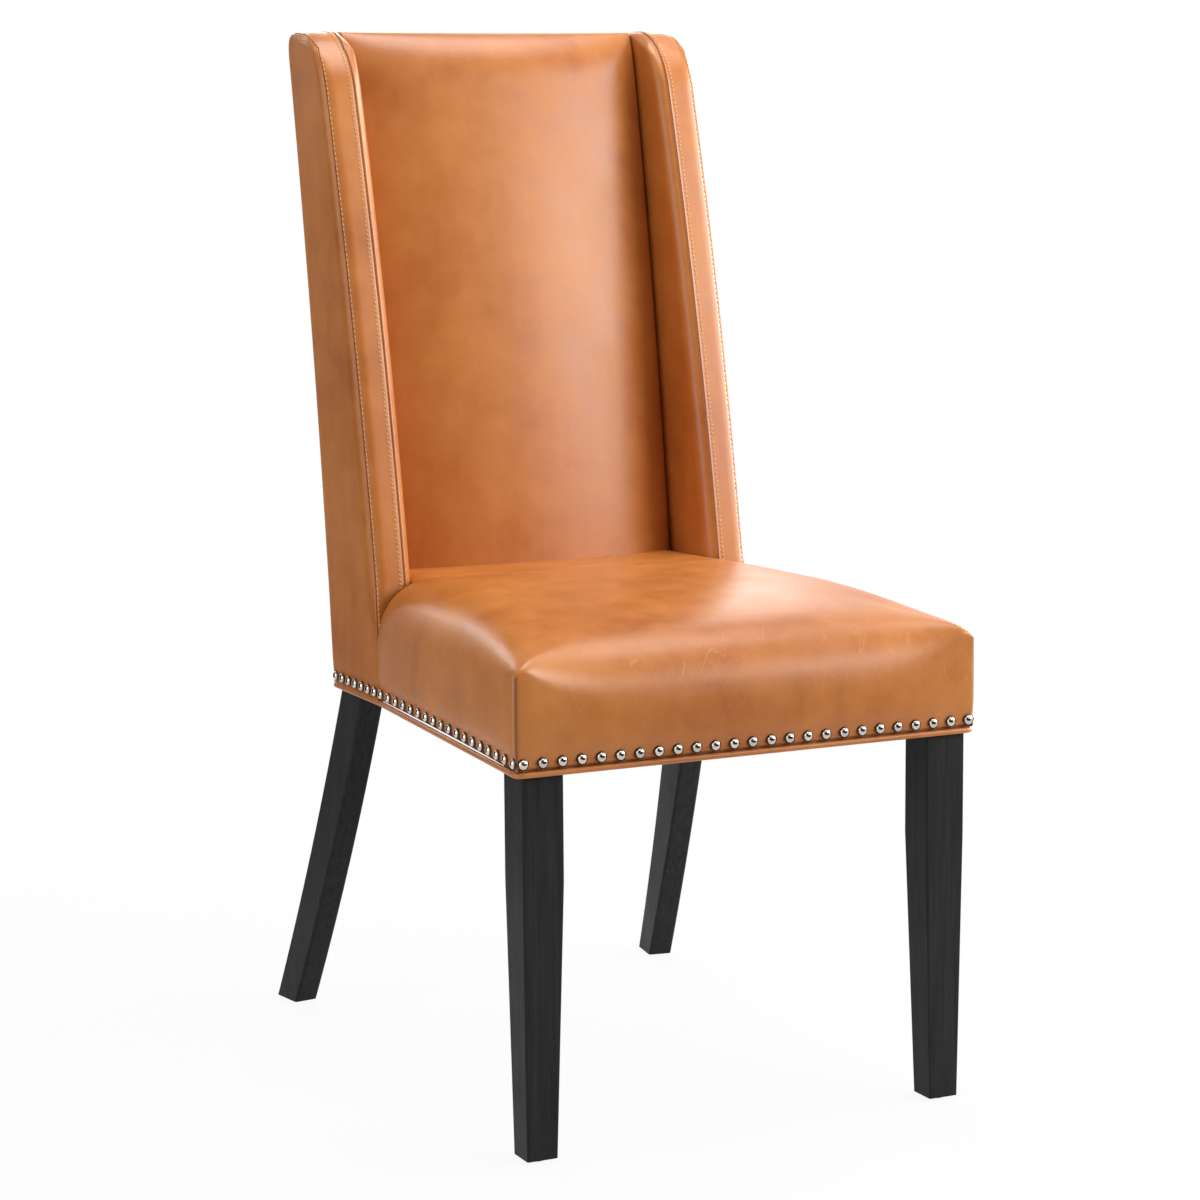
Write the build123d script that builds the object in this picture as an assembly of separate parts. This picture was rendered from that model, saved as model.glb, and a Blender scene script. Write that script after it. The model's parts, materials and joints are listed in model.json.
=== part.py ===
import os
from math import cos, radians, sin, sqrt

from build123d import *

# High-backed dining chair in faux leather: an upholstered seat unit on two front legs, bolted to an
# upholstered, winged back unit whose posts run down as the rear legs.
# Millimetres, +Z up, the chair faces -Y, and left and right are as seen from the front.
# The pieces are made with x counted from the middle of the chair and y from the front of the welt.
# They are moved at the end, so that the origin is on the floor under the middle.

# Seat unit, outside
seat_front_width = 483.0
seat_depth = 396.0
crown_height = 492.0
seat_block_height = 130.0
crown_peak_y = 220.0
crown_fall = 0.00012
crown_sag = 7.0
front_roll_depth = 45.0
front_roll_drop = 31.0
front_edge_roll = 22.0
rear_edge_roll = 42.0
front_edge_drop = 24.0
rear_edge_drop = 46.0
side_draw_in = 2.0
tongue_reach = 110.0
tongue_edge_roll = 10.0
tongue_edge_drop = 14.0

# Back unit, outside
back_width = 425.0
back_height = 1030.0
back_foot_depth = 127.5
back_top_rear_y = 624.0
back_bow = 9.0
wing_thickness = 45.5
wing_start_rise = 57.0
wing_top_front_y = 537.0
wing_bow = 12.0
wing_knee_radius = 150.0
wing_corner_radius = 42.0
rear_corner_radius = 18.0
outer_edge_radius = 9.0
inner_edge_radius = 14.0
outer_seam_inset = 6.0
inner_seam_inset = 32.5

# Inside back pad
pad_depth_low = 85.0
pad_depth_high = 66.0
pad_edge_depth = 45.0
pad_top_depth = 34.0
pad_top_edge_depth = 30.0
pad_crown = 12.0
pad_top_crown = 1.5
pad_edge_roll = 26.0
pad_roll_height = 45.0

# Leather and clearances
leather = 2.5
ease = 0.3
touch_gap = 0.1
drill_play = 0.15
unit_gap = 1.0
pad_gap = 2.0
pad_foot_gap = 1.0

# Welt, nails and dust cover
welt_radius = 2.8
welt_proud = 1.5
welt_corner_radius = 7.0
welt_clearance = 0.4
nail_radius = 5.5
nail_head_height = 3.2
nail_shank_radius = 0.9
nail_shank_length = 8.0
nail_rise = 7.0
nail_corner_margin = 7.0
front_nail_count = 25
side_nail_count = 18
back_nail_count = 7
cambric = 1.0
cambric_margin = 5.0

# Seat frame
rail_thickness = 18.0
rail_height = 60.0
webbing = 1.5
webbing_width = 50.0
lengthwise_strap_count = 5
crosswise_strap_count = 5
lengthwise_strap_overlap = 15.0
crosswise_strap_overlap = 10.0
corner_block_leg = 75.0
corner_block_height = 40.0
dowel_radius = 4.0
dowel_length = 38.0
dowel_spacing = 30.0
seat_dowel_bury = 13.0

# Back frame
back_rail_thickness = 20.0
back_rail_rear_gap = 3.2
post_thickness = 26.0
post_depth_low = 56.0
post_depth_high = 34.0
post_rear_gap = 6.5
post_side_gap = 8.5
post_top_gap = 15.0
post_edge_radius = 3.0
wing_panel_thickness = 15.0
wing_panel_inset = 10.0
mounting_rail_thickness = 30.0
bottom_rail_rise = 17.0
bottom_rail_height = 55.0
middle_rail_rise = 275.0
middle_rail_height = 50.0
top_rail_height = 64.0
top_rail_gap = 4.0
back_strap_count = 3
back_strap_width = 60.0
back_strap_pitch = 100.0
back_strap_overlap = 40.0
wing_dowel_count = 3
wing_dowel_low = 110.0
wing_dowel_pitch = 200.0

# Legs
front_leg_top = 41.3
front_leg_foot = 30.9
front_leg_front_inset = 6.3
front_leg_side_inset = 9.4
front_leg_outer_taper = 2.7
front_leg_straight = 106.0
front_leg_edge_radius = 2.0
rear_foot_depth = 41.0
rear_foot_x = 226.6
rear_foot_y = 617.5
rear_foot_turn = 9.0
rear_leg_curve = 0.18
glide_radius = 9.0
glide_height = 3.0
glide_edge_radius = 1.2
glide_pin_radius = 1.5
glide_pin_length = 14.0

# Fasteners
hanger_radius = 4.0
hanger_bury = 50.0
hanger_tail = 6.0
hanger_from_leg_face = 29.0
hanger_washer_radius = 9.0
hanger_nut_flats = 13.0
hanger_nut_height = 6.5
unit_bolt_radius = 3.0
unit_bolt_tail = 4.0
unit_bolt_head_height = 4.0
unit_washer_radius = 7.0
unit_nut_flats = 10.0
unit_nut_height = 5.0
unit_bolt_count = 4
unit_bolt_pitch = 63.0
washer_thickness = 1.6
screw_radius = 2.2
screw_head_radius = 4.2
screw_head_height = 3.0
block_screw_length = 34.0
block_screw_bury = 14.0
block_screw_reach = 46.5
mounting_screw_length = 45.0
mounting_screw_spacing = 26.0
mounting_screw_depth = 21.0

# Places that follow from the sizes above
seat_front_y = welt_proud
seat_front_half = seat_front_width / 2 - welt_proud
back_half = back_width / 2
wing_inner_half = back_half - wing_thickness
break_y = seat_depth
back_front_y = break_y + unit_gap
back_foot_rear_y = back_front_y + back_foot_depth
underside_height = crown_height - seat_block_height
cover_bottom = underside_height + 2 * welt_radius + welt_clearance
wing_start_height = cover_bottom + wing_start_rise
rail_top = cover_bottom + rail_height
deck_height = rail_top + 2 * webbing
pad_half = wing_inner_half - pad_gap
outer_seam_x = back_half - outer_seam_inset
inner_seam_x = back_half - inner_seam_inset
post_outer_x = back_half - post_side_gap
post_inner_x = post_outer_x - post_thickness
panel_inner_x = post_outer_x - wing_panel_thickness
rail_front_y = seat_front_y + leather + ease
rail_inset = leather + ease + side_draw_in
pad_foot = deck_height + pad_foot_gap
back_rail_front_gap = back_rail_rear_gap + back_rail_thickness
pad_rear_gap = back_rail_front_gap + webbing + 2 * ease
nail_height = cover_bottom + nail_rise
leg_foot_height = glide_height
far = 2000.0
zone_overrun = 10.0
tolerance = 0.01
roll_turns = range(15, 91, 15)
seat_level_sections = 6
tongue_sections = 3
pad_level_sections = 7
leg_section_count = 5
mid_arc = sin(radians(45))


# Small helpers
def block(x0, x1, y0, y1, z0, z1):
    centre = Pos((x0 + x1) / 2, (y0 + y1) / 2, (z0 + z1) / 2)
    return centre * Box(x1 - x0, y1 - y0, z1 - z0)


def rod(start, end, radius):
    axis = Vector(*end) - Vector(*start)
    return Solid.make_cylinder(radius, axis.length, Plane(origin=start, z_dir=axis))


def hex_rod(start, end, flats):
    axis = Vector(*end) - Vector(*start)
    outline = Plane(origin=start, z_dir=axis) * RegularPolygon(flats / 2, 6, major_radius=False)
    return extrude(outline, amount=axis.length, dir=axis)


def plan_prism(points, z0, z1):
    outline = Face(Wire.make_polygon([Vector(x, y, z0) for x, y in points]))
    return extrude(outline, amount=z1 - z0, dir=(0, 0, 1))


def side_prism(outline, x0, x1):
    return extrude(Pos(x0, 0, 0) * outline, amount=x1 - x0, dir=(1, 0, 0))


def mirrored(shape):
    return mirror(shape, about=Plane.YZ)


def only_solid(shape):
    solids = shape.solids()
    return max(solids, key=lambda solid: solid.volume)


def group(shapes):
    return Compound([solid for shape in shapes for solid in shape.solids()])


def spread(count, first, last):
    return [first + (last - first) * index / (count - 1) for index in range(count)]


# Lines of the side view, as y at height z
def bowed(z, low, high, bow):
    share = (z - low[1]) / (high[1] - low[1])
    return low[0] + (high[0] - low[0]) * share - 4 * bow * share * (1 - share)


def back_rear(z):
    low = (back_foot_rear_y, cover_bottom)
    high = (back_top_rear_y, back_height)
    return bowed(z, low, high, back_bow)


def wing_front(z):
    low = (back_front_y, wing_start_height)
    high = (wing_top_front_y, back_height)
    return bowed(z, low, high, wing_bow)


def post_depth(z):
    share = (z - cover_bottom) / (back_height - cover_bottom)
    return post_depth_low + (post_depth_high - post_depth_low) * share


def post_front(z):
    return back_rear(z) - post_rear_gap - post_depth(z)


def side_arc(curve, shift, z0, z1):
    heights = (z0, (z0 + z1) / 2, z1)
    return Edge.make_three_point_arc(*[Vector(0, curve(z) + shift, z) for z in heights])


# Outline of the back unit seen from the side
def side_profile(inset, foot):
    top = back_height - inset
    front_foot = Vector(0, back_front_y + inset, foot)
    knee = Vector(0, back_front_y + inset, wing_start_height)
    top_front = Vector(0, wing_front(top) + inset, top)
    top_rear = Vector(0, back_rear(top) - inset, top)
    rear_foot = Vector(0, back_rear(foot) - inset, foot)
    edges = [
        Edge.make_line(front_foot, knee),
        side_arc(wing_front, inset, wing_start_height, top),
        Edge.make_line(top_front, top_rear),
        side_arc(back_rear, -inset, top, foot),
        Edge.make_line(rear_foot, front_foot),
    ]
    outline = Face(Wire(edges))
    corners = ((knee, wing_knee_radius), (top_front, wing_corner_radius), (top_rear, rear_corner_radius))
    for corner, radius in corners:
        vertex = min(outline.vertices(), key=lambda v: (v.center() - corner).length)
        outline = outline.fillet_2d(radius - inset, [vertex])
    return outline


# Strip of the side view between two lines that follow the back's rear face
def rear_strip(front_gap, rear_gap, z0, z1):
    front = side_arc(back_rear, -front_gap, z0, z1)
    rear = side_arc(back_rear, -rear_gap, z1, z0)
    top = Edge.make_line(front @ 1, rear @ 0)
    foot = Edge.make_line(rear @ 1, front @ 0)
    return Face(Wire([front, top, rear, foot]))


def behind(curve, shift):
    z0 = cover_bottom - zone_overrun
    z1 = back_height + zone_overrun
    line = side_arc(curve, shift, z0, z1)
    top = Edge.make_line(line @ 1, Vector(0, far, z1))
    rear = Edge.make_line(Vector(0, far, z1), Vector(0, far, z0))
    foot = Edge.make_line(Vector(0, far, z0), line @ 0)
    return Face(Wire([line, top, rear, foot]))


# Seat cushion form
def seat_half(y):
    share = (y - seat_front_y) / (break_y - seat_front_y)
    straight = seat_front_half + (back_half - seat_front_half) * share
    return straight - 4 * side_draw_in * share * (1 - share)


def seat_side(y, inset):
    share = (y - seat_front_y) / (break_y - seat_front_y)
    return seat_front_half + (back_half - seat_front_half) * share - inset


def seat_crown(y, inset):
    level = crown_height - inset - crown_fall * (y - crown_peak_y) ** 2
    rise = min(1.0, max(0.0, (y - seat_front_y - inset) / front_roll_depth))
    return level - front_roll_drop * (1 - sqrt(1 - (1 - rise) ** 2))


def seat_section(y, half, crown, roll, drop, foot):
    shoulder = crown - crown_sag * (1 - roll / half) ** 2
    side_top = shoulder - drop
    bend_x = half - roll * (1 - mid_arc)
    bend_z = side_top + drop * mid_arc
    right_foot = Vector(half, y, foot)
    right_side = Vector(half, y, side_top)
    right_bend = Vector(bend_x, y, bend_z)
    right_top = Vector(half - roll, y, shoulder)
    left_top = Vector(roll - half, y, shoulder)
    left_bend = Vector(-bend_x, y, bend_z)
    left_side = Vector(-half, y, side_top)
    left_foot = Vector(-half, y, foot)
    edges = [
        Edge.make_line(left_foot, right_foot),
        Edge.make_line(right_foot, right_side),
        Edge.make_three_point_arc(right_side, right_bend, right_top),
        Edge.make_three_point_arc(right_top, Vector(0, y, crown), left_top),
        Edge.make_three_point_arc(left_top, left_bend, left_side),
        Edge.make_line(left_side, left_foot),
    ]
    return Wire(edges)


def seat_main(inset, foot, overrun):
    front = seat_front_y + inset
    rear = break_y + overrun
    rolled = [front + front_roll_depth * (1 - cos(radians(turn))) for turn in (0, *roll_turns)]
    level = spread(seat_level_sections, front + front_roll_depth, rear)[1:]
    sections = []
    for y in rolled + level:
        share = (y - front) / (rear - front)
        roll = front_edge_roll + (rear_edge_roll - front_edge_roll) * share
        drop = front_edge_drop + (rear_edge_drop - front_edge_drop) * share
        sections.append(seat_section(y, seat_half(y) - inset, seat_crown(y, inset), roll, drop, foot))
    return Solid.make_loft(sections, ruled=True)


def seat_tongue(inset, foot, front):
    rear = break_y + tongue_reach
    sections = []
    for y in spread(tongue_sections, front, rear):
        half = pad_half - inset
        crown = seat_crown(y, inset)
        sections.append(seat_section(y, half, crown, tongue_edge_roll, tongue_edge_drop, foot))
    return Solid.make_loft(sections, ruled=True)


# Inside back pad form
def pad_depth(z):
    share = (z - cover_bottom) / (back_height - cover_bottom)
    return pad_depth_low + (pad_depth_high - pad_depth_low) * share


def pad_roll(z, inset):
    start = back_height - pad_roll_height
    share = max(0.0, (z - start) / (pad_roll_height - inset))
    return sqrt(max(0.0, 1 - share ** 2))


def pad_section(z, inset, rear_gap):
    rear_line = back_rear(z)
    roll = pad_roll(z, inset)
    depth = pad_top_depth + (pad_depth(z) - pad_top_depth) * roll - inset
    shoulder_depth = depth - pad_top_crown - (pad_crown - pad_top_crown) * roll
    edge_depth = pad_top_edge_depth + (pad_edge_depth - pad_top_edge_depth) * roll - inset
    edge_depth = min(edge_depth, shoulder_depth - ease)
    half = pad_half - inset
    shoulder = half - pad_edge_roll
    bend_x = half - pad_edge_roll * (1 - mid_arc)
    bend_depth = edge_depth + (shoulder_depth - edge_depth) * mid_arc
    right_rear = Vector(half, rear_line - rear_gap, z)
    left_rear = Vector(-half, rear_line - rear_gap, z)
    right_edge = Vector(half, rear_line - edge_depth, z)
    left_edge = Vector(-half, rear_line - edge_depth, z)
    right_bend = Vector(bend_x, rear_line - bend_depth, z)
    left_bend = Vector(-bend_x, rear_line - bend_depth, z)
    right_shoulder = Vector(shoulder, rear_line - shoulder_depth, z)
    left_shoulder = Vector(-shoulder, rear_line - shoulder_depth, z)
    edges = [
        Edge.make_line(left_rear, right_rear),
        Edge.make_line(right_rear, right_edge),
        Edge.make_three_point_arc(right_edge, right_bend, right_shoulder),
        Edge.make_three_point_arc(right_shoulder, Vector(0, rear_line - depth, z), left_shoulder),
        Edge.make_three_point_arc(left_shoulder, left_bend, left_edge),
        Edge.make_line(left_edge, left_rear),
    ]
    return Wire(edges)


def pad_form(inset, rear_gap, foot):
    top = back_height - inset
    start = back_height - pad_roll_height
    rolled = [start + (top - start) * sin(radians(turn)) for turn in roll_turns]
    heights = spread(pad_level_sections, foot, start) + rolled
    return Solid.make_loft([pad_section(z, inset, rear_gap) for z in heights], ruled=True)


# Wing form: the side outline across the wing's thickness, with rounded edges
def wing_form(inset, foot):
    outer = -(back_half - inset)
    inner = -(wing_inner_half + inset)
    form = side_prism(side_profile(inset, foot), outer, inner)
    for place, radius in ((outer, outer_edge_radius - inset), (inner, inner_edge_radius - inset)):
        middles = [(edge, edge @ 0.5) for edge in form.edges()]
        rim = [edge for edge, at in middles if abs(at.X - place) < tolerance and at.Z > foot + tolerance]
        form = fillet(rim, radius)
    return form


# Legs
def front_leg():
    outer = seat_front_width / 2 - front_leg_side_inset
    front = front_leg_front_inset
    foot_shift = front_leg_outer_taper
    levels = (
        (cover_bottom, front_leg_top, 0.0),
        (cover_bottom - front_leg_straight, front_leg_top, 0.0),
        (leg_foot_height, front_leg_foot, foot_shift),
    )
    sections = []
    for z, side, shift in levels:
        centre = (-(outer - shift - side / 2), front + shift + side / 2, z)
        sections.append(Plane(origin=centre) * RectangleRounded(side, side, front_leg_edge_radius))
    return loft(sections, ruled=True)


def rear_leg_section(z, grow):
    if z >= cover_bottom:
        depth = post_depth(z)
        corner = (post_outer_x, post_front(z))
        turn = 0.0
    else:
        share = (cover_bottom - z) / (cover_bottom - leg_foot_height)
        travel = share * (1 - rear_leg_curve) + share ** 2 * rear_leg_curve
        depth = post_depth_low + (rear_foot_depth - post_depth_low) * share
        corner_x = post_outer_x + (rear_foot_x - post_outer_x) * travel
        corner_y = post_front(cover_bottom) + (rear_foot_y - post_front(cover_bottom)) * travel
        corner = (corner_x, corner_y)
        turn = radians(rear_foot_turn * share)
    across = Vector(cos(turn), sin(turn), 0)
    along = Vector(-sin(turn), cos(turn), 0)
    centre = Vector(-corner[0], corner[1], z) + across * (post_thickness / 2) + along * (depth / 2)
    plane = Plane(origin=centre, x_dir=across, z_dir=(0, 0, 1))
    return plane * RectangleRounded(post_thickness + 2 * grow, depth + 2 * grow, post_edge_radius + grow)


def rear_leg(grow=0.0):
    post_top = back_height - post_top_gap
    leg_heights = spread(leg_section_count, leg_foot_height, cover_bottom)
    post_heights = spread(leg_section_count, cover_bottom, post_top + grow)
    leg = loft([rear_leg_section(z, grow) for z in leg_heights])
    return leg + loft([rear_leg_section(z, grow) for z in post_heights])


def wing_panel(grow=0.0):
    foot = cover_bottom - grow
    outline = side_profile(wing_panel_inset - grow, foot)
    panel = side_prism(outline, -post_outer_x - grow, -panel_inner_x + grow)
    return panel - side_prism(behind(post_front, grow - ease), -far, far)


# Nails, made head up at the origin and then placed with their axis along the face's normal
def nail():
    sphere_radius = (nail_radius ** 2 + nail_head_height ** 2) / (2 * nail_head_height)
    dome = Pos(0, 0, nail_head_height - sphere_radius) * Sphere(sphere_radius)
    head = dome & block(-far, far, -far, far, 0, far)
    shank = rod((0, 0, -nail_shank_length), (0, 0, nail_head_height / 2), nail_shank_radius)
    return only_solid(head + shank)


def nail_drill(place):
    hole = rod((0, 0, -nail_shank_length - ease), (0, 0, nail_head_height), nail_shank_radius + drill_play)
    return place * hole


def nail_places_front():
    reach = seat_front_half - nail_corner_margin
    normal = Vector(0, -1, 0)
    xs = spread(front_nail_count, -reach, reach)
    return [Plane(origin=(x, seat_front_y - touch_gap, nail_height), z_dir=normal) for x in xs]


def nail_places_left():
    places = []
    for y in spread(side_nail_count, seat_front_y + nail_corner_margin, break_y - nail_radius - ease):
        slope = (seat_half(y + 1) - seat_half(y - 1)) / 2
        normal = Vector(-1, -slope, 0).normalized()
        origin = Vector(-seat_half(y), y, nail_height) + normal * (touch_gap)
        places.append(Plane(origin=origin, z_dir=normal))
    return places


def nail_places_back():
    margin = outer_edge_radius + 2 * nail_shank_radius
    ys = spread(back_nail_count, back_front_y + margin, back_rear(nail_height) - margin)
    normal = Vector(-1, 0, 0)
    return [Plane(origin=(-back_half - touch_gap, y, nail_height), z_dir=normal) for y in ys]


def mirrored_place(place):
    origin = Vector(-place.origin.X, place.origin.Y, place.origin.Z)
    normal = Vector(-place.z_dir.X, place.z_dir.Y, place.z_dir.Z)
    return Plane(origin=origin, z_dir=normal)


# Screw from its head's outer face towards its point
def screw(start, end, grow=0.0):
    axis = (Vector(*end) - Vector(*start)).normalized()
    head_end = Vector(*start) + axis * (screw_head_height + grow)
    shank = rod(start, Vector(*end) + axis * grow, screw_radius + grow)
    return shank + rod(start, head_end, screw_head_radius + grow)


def ring(start, end, radius, bore):
    return rod(start, end, radius) - rod(start, end, bore)


pieces = {}

# Seat frame: front and rear rails across, side rails between them
front_rail_back = rail_front_y + rail_thickness
rear_rail_front = break_y - rail_thickness
side_rail_ends = (front_rail_back + touch_gap, rear_rail_front - touch_gap)
left_outer = [(-seat_side(y, rail_inset), y) for y in side_rail_ends]
side_rail_points = left_outer + [(x + rail_thickness, y) for x, y in reversed(left_outer)]
front_points = [(-seat_side(y, rail_inset), y) for y in (rail_front_y, front_rail_back)]
front_points = front_points + [(-x, y) for x, y in reversed(front_points)]
rear_points = [(-seat_side(y, rail_inset), y) for y in (rear_rail_front, break_y)]
rear_points = rear_points + [(-x, y) for x, y in reversed(rear_points)]
front_rail = plan_prism(front_points, cover_bottom, rail_top)
rear_rail = plan_prism(rear_points, cover_bottom, rail_top)
left_rail = plan_prism(side_rail_points, cover_bottom, rail_top + webbing)

dowels = []
dowel_drills = []
for corner_y, inward in ((front_rail_back, 1), (rear_rail_front, -1)):
    for level in (-dowel_spacing / 2, dowel_spacing / 2):
        x = -seat_side(corner_y, rail_inset + rail_thickness / 2)
        z = (cover_bottom + rail_top) / 2 + level
        start = corner_y - inward * seat_dowel_bury
        end = start + inward * dowel_length
        dowel = rod((x, start, z), (x, end, z), dowel_radius)
        drill = rod((x, start - inward * ease, z), (x, end + inward * ease, z), dowel_radius + drill_play)
        dowels += [dowel, mirrored(dowel)]
        dowel_drills += [drill, mirrored(drill)]
pieces["seat_rail_dowels"] = group(dowels)
left_rail -= dowel_drills
front_rail -= dowel_drills
rear_rail -= dowel_drills

# Corner blocks in the frame's four inner corners, each with a screw into either rail
block_top = cover_bottom + corner_block_height
block_screws = []
block_screw_drills = []
left_blocks = {}
for corner, corner_y, inward in (("front", front_rail_back, 1), ("rear", rear_rail_front, -1)):
    y = corner_y + inward * touch_gap
    reach_y = y + inward * corner_block_leg
    inner_x = -seat_side(y, rail_inset + rail_thickness + touch_gap)
    reach_x = -seat_side(reach_y, rail_inset + rail_thickness + touch_gap)
    points = [(inner_x, y), (inner_x + corner_block_leg, y), (reach_x, reach_y)]
    brace = plan_prism(points if inward > 0 else points[::-1], cover_bottom, block_top)
    middle = (cover_bottom + block_top) / 2
    across = inner_x + block_screw_reach
    to_end_rail = [(across, y + inward * (block_screw_length - block_screw_bury), middle + screw_head_radius),
                   (across, y - inward * block_screw_bury, middle + screw_head_radius)]
    along = y + inward * block_screw_reach
    wall = -seat_side(along, rail_inset + rail_thickness)
    to_side_rail = [(wall + block_screw_length - block_screw_bury, along, middle - screw_head_radius),
                    (wall - block_screw_bury, along, middle - screw_head_radius)]
    for start, end in (to_end_rail, to_side_rail):
        axis = (Vector(*end) - Vector(*start)).normalized()
        fixing = screw(start, end)
        pocket = rod(Vector(*start) - axis * corner_block_leg, start, screw_head_radius + drill_play)
        drill = screw(start, end, drill_play) + pocket
        brace -= drill
        block_screws += [fixing, mirrored(fixing)]
        block_screw_drills += [screw(start, end, drill_play), mirrored(screw(start, end, drill_play))]
    left_blocks[corner] = brace
pieces["corner_block_screws"] = group(block_screws)
left_rail -= block_screw_drills
front_rail -= block_screw_drills
rear_rail -= block_screw_drills

# Front legs, each drawn up against the frame by a hanger bolt through the front corner block
left_leg = front_leg()
leg_box = left_leg.bounding_box()
hanger_x = leg_box.min.X + hanger_from_leg_face
hanger_y = leg_box.min.Y + hanger_from_leg_face
washer_top = block_top + washer_thickness
nut_top = washer_top + hanger_nut_height
hanger_low = (hanger_x, hanger_y, cover_bottom - hanger_bury)
hanger = rod(hanger_low, (hanger_x, hanger_y, nut_top + hanger_tail), hanger_radius)
hanger_drill = rod((hanger_x, hanger_y, cover_bottom - hanger_bury - ease),
                   (hanger_x, hanger_y, nut_top + hanger_tail), hanger_radius + drill_play)
hanger_washer = ring((hanger_x, hanger_y, block_top), (hanger_x, hanger_y, washer_top),
                     hanger_washer_radius, hanger_radius + drill_play)
hanger_nut = hex_rod((hanger_x, hanger_y, washer_top), (hanger_x, hanger_y, nut_top), hanger_nut_flats)
hanger_nut -= hanger_drill
left_leg -= hanger_drill
left_blocks["front"] -= hanger_drill
pieces["leg_hanger_bolts"] = group([hanger, mirrored(hanger)])
pieces["leg_washers"] = group([hanger_washer, mirrored(hanger_washer)])
pieces["leg_nuts"] = group([hanger_nut, mirrored(hanger_nut)])
for corner, brace in left_blocks.items():
    pieces[f"{corner}_left_corner_block"] = brace
    pieces[f"{corner}_right_corner_block"] = mirrored(brace)

# Rear legs and back posts in one piece
left_post = rear_leg()

# Glides under the four legs
foot_centre = rear_leg_section(leg_foot_height, 0.0).center()
front_foot = left_leg.faces().sort_by(Axis.Z)[0].center()
glides = []
glide_drills = []
for foot in (front_foot, foot_centre):
    disc = Pos(foot.X, foot.Y, glide_height / 2) * Cylinder(glide_radius, glide_height)
    disc = fillet(disc.edges().sort_by(Axis.Z)[0], glide_edge_radius)
    pin_top = (foot.X, foot.Y, glide_height + glide_pin_length)
    glide = disc + rod((foot.X, foot.Y, glide_height / 2), pin_top, glide_pin_radius)
    drill_top = (foot.X, foot.Y, glide_height + glide_pin_length + ease)
    glides += [glide, mirrored(glide)]
    glide_drills.append(rod((foot.X, foot.Y, glide_height / 2), drill_top, glide_pin_radius + drill_play))
pieces["leg_glides"] = group(glides)
left_leg -= glide_drills
left_post -= glide_drills
pieces["front_left_leg"] = left_leg
pieces["front_right_leg"] = mirrored(left_leg)

# Webbing: lengthwise straps on the front and rear rails, and crosswise straps over them on the side rails,
# which are higher by one strap
inner_front = front_rail_back
inner_rear = rear_rail_front
side_level = rail_top + webbing
crosswise = []
for y in spread(crosswise_strap_count + 2, inner_front, inner_rear)[1:-1]:
    reach = seat_side(y, rail_inset + rail_thickness) + crosswise_strap_overlap
    crosswise.append(block(-reach, reach, y - webbing_width / 2, y + webbing_width / 2,
                           side_level, side_level + webbing))
lengthwise = []
width_at_rear = seat_side(inner_rear, rail_inset + rail_thickness)
for x in spread(lengthwise_strap_count + 2, -width_at_rear, width_at_rear)[1:-1]:
    lengthwise.append(block(x - webbing_width / 2, x + webbing_width / 2,
                            inner_front - lengthwise_strap_overlap,
                            inner_rear + lengthwise_strap_overlap, rail_top, side_level))
pieces["crosswise_seat_webbing"] = group(crosswise)
pieces["lengthwise_seat_webbing"] = group(lengthwise)

# Seat foam on the webbing, with a tongue that tucks in between the wings against the inside back
pad_clear = pad_form(-ease, pad_rear_gap, deck_height)
foam_inset = leather + ease
foam_bottom = deck_height + touch_gap
foam = seat_main(foam_inset, foam_bottom, 0.0) + seat_tongue(foam_inset + ease, foam_bottom, break_y)
pieces["seat_foam"] = only_solid(foam - pad_clear)

# Seat cover: a leather shell over the frame and foam, open below and against the back unit
cover = seat_main(0.0, cover_bottom, 0.0) + seat_tongue(ease, deck_height, break_y)
cover -= seat_main(leather, cover_bottom - leather, leather)
cover -= seat_tongue(leather + ease, cover_bottom, break_y - leather)
cover = only_solid(cover - pad_clear)

# Seat nails
front_nails = nail_places_front()
left_nails = nail_places_left()
right_nails = [mirrored_place(place) for place in left_nails]
one_nail = nail()
pieces["seat_nails"] = group([place * one_nail for place in front_nails + left_nails + right_nails])
front_drills = [nail_drill(place) for place in front_nails]
left_drills = [nail_drill(place) for place in left_nails]
right_drills = [nail_drill(place) for place in right_nails]
pieces["seat_cover"] = cover - (front_drills + left_drills + right_drills)
pieces["front_seat_rail"] = front_rail - (front_drills + left_drills + right_drills)
pieces["left_seat_rail"] = left_rail - left_drills
pieces["right_seat_rail"] = mirrored(left_rail) - right_drills

# Seat welt: a round cord round the front and sides, under the cover's edge
welt_height = underside_height + welt_radius
welt_inset = welt_radius - welt_proud
left_rear_end = Vector(-(back_half - welt_inset), break_y, welt_height)
left_front = Vector(-(seat_front_half - welt_inset), seat_front_y + welt_inset, welt_height)
right_front = Vector(-left_front.X, left_front.Y, welt_height)
right_rear_end = Vector(-left_rear_end.X, break_y, welt_height)
seat_path = FilletPolyline(left_rear_end, left_front, right_front, right_rear_end, radius=welt_corner_radius)
seat_start = Plane(origin=left_rear_end, z_dir=left_front - left_rear_end)
pieces["seat_welt"] = sweep(seat_start * Circle(welt_radius), path=seat_path)

# Cambric dust cover under the seat frame, cut out round the legs
cambric_top = cover_bottom - touch_gap
leg_clear = [block(leg_box.min.X - ease, leg_box.max.X + ease, -far, leg_box.max.Y + ease, 0, far)]
leg_clear.append(mirrored(leg_clear[0]))
seat_cambric_points = [(-seat_side(y, cambric_margin + leather), y)
                       for y in (rail_front_y + cambric_margin, break_y - cambric_margin)]
seat_cambric_points += [(-x, y) for x, y in reversed(seat_cambric_points)]
seat_cambric = plan_prism(seat_cambric_points, cambric_top - cambric, cambric_top)
pieces["seat_dust_cover"] = only_solid(seat_cambric - leg_clear)

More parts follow.
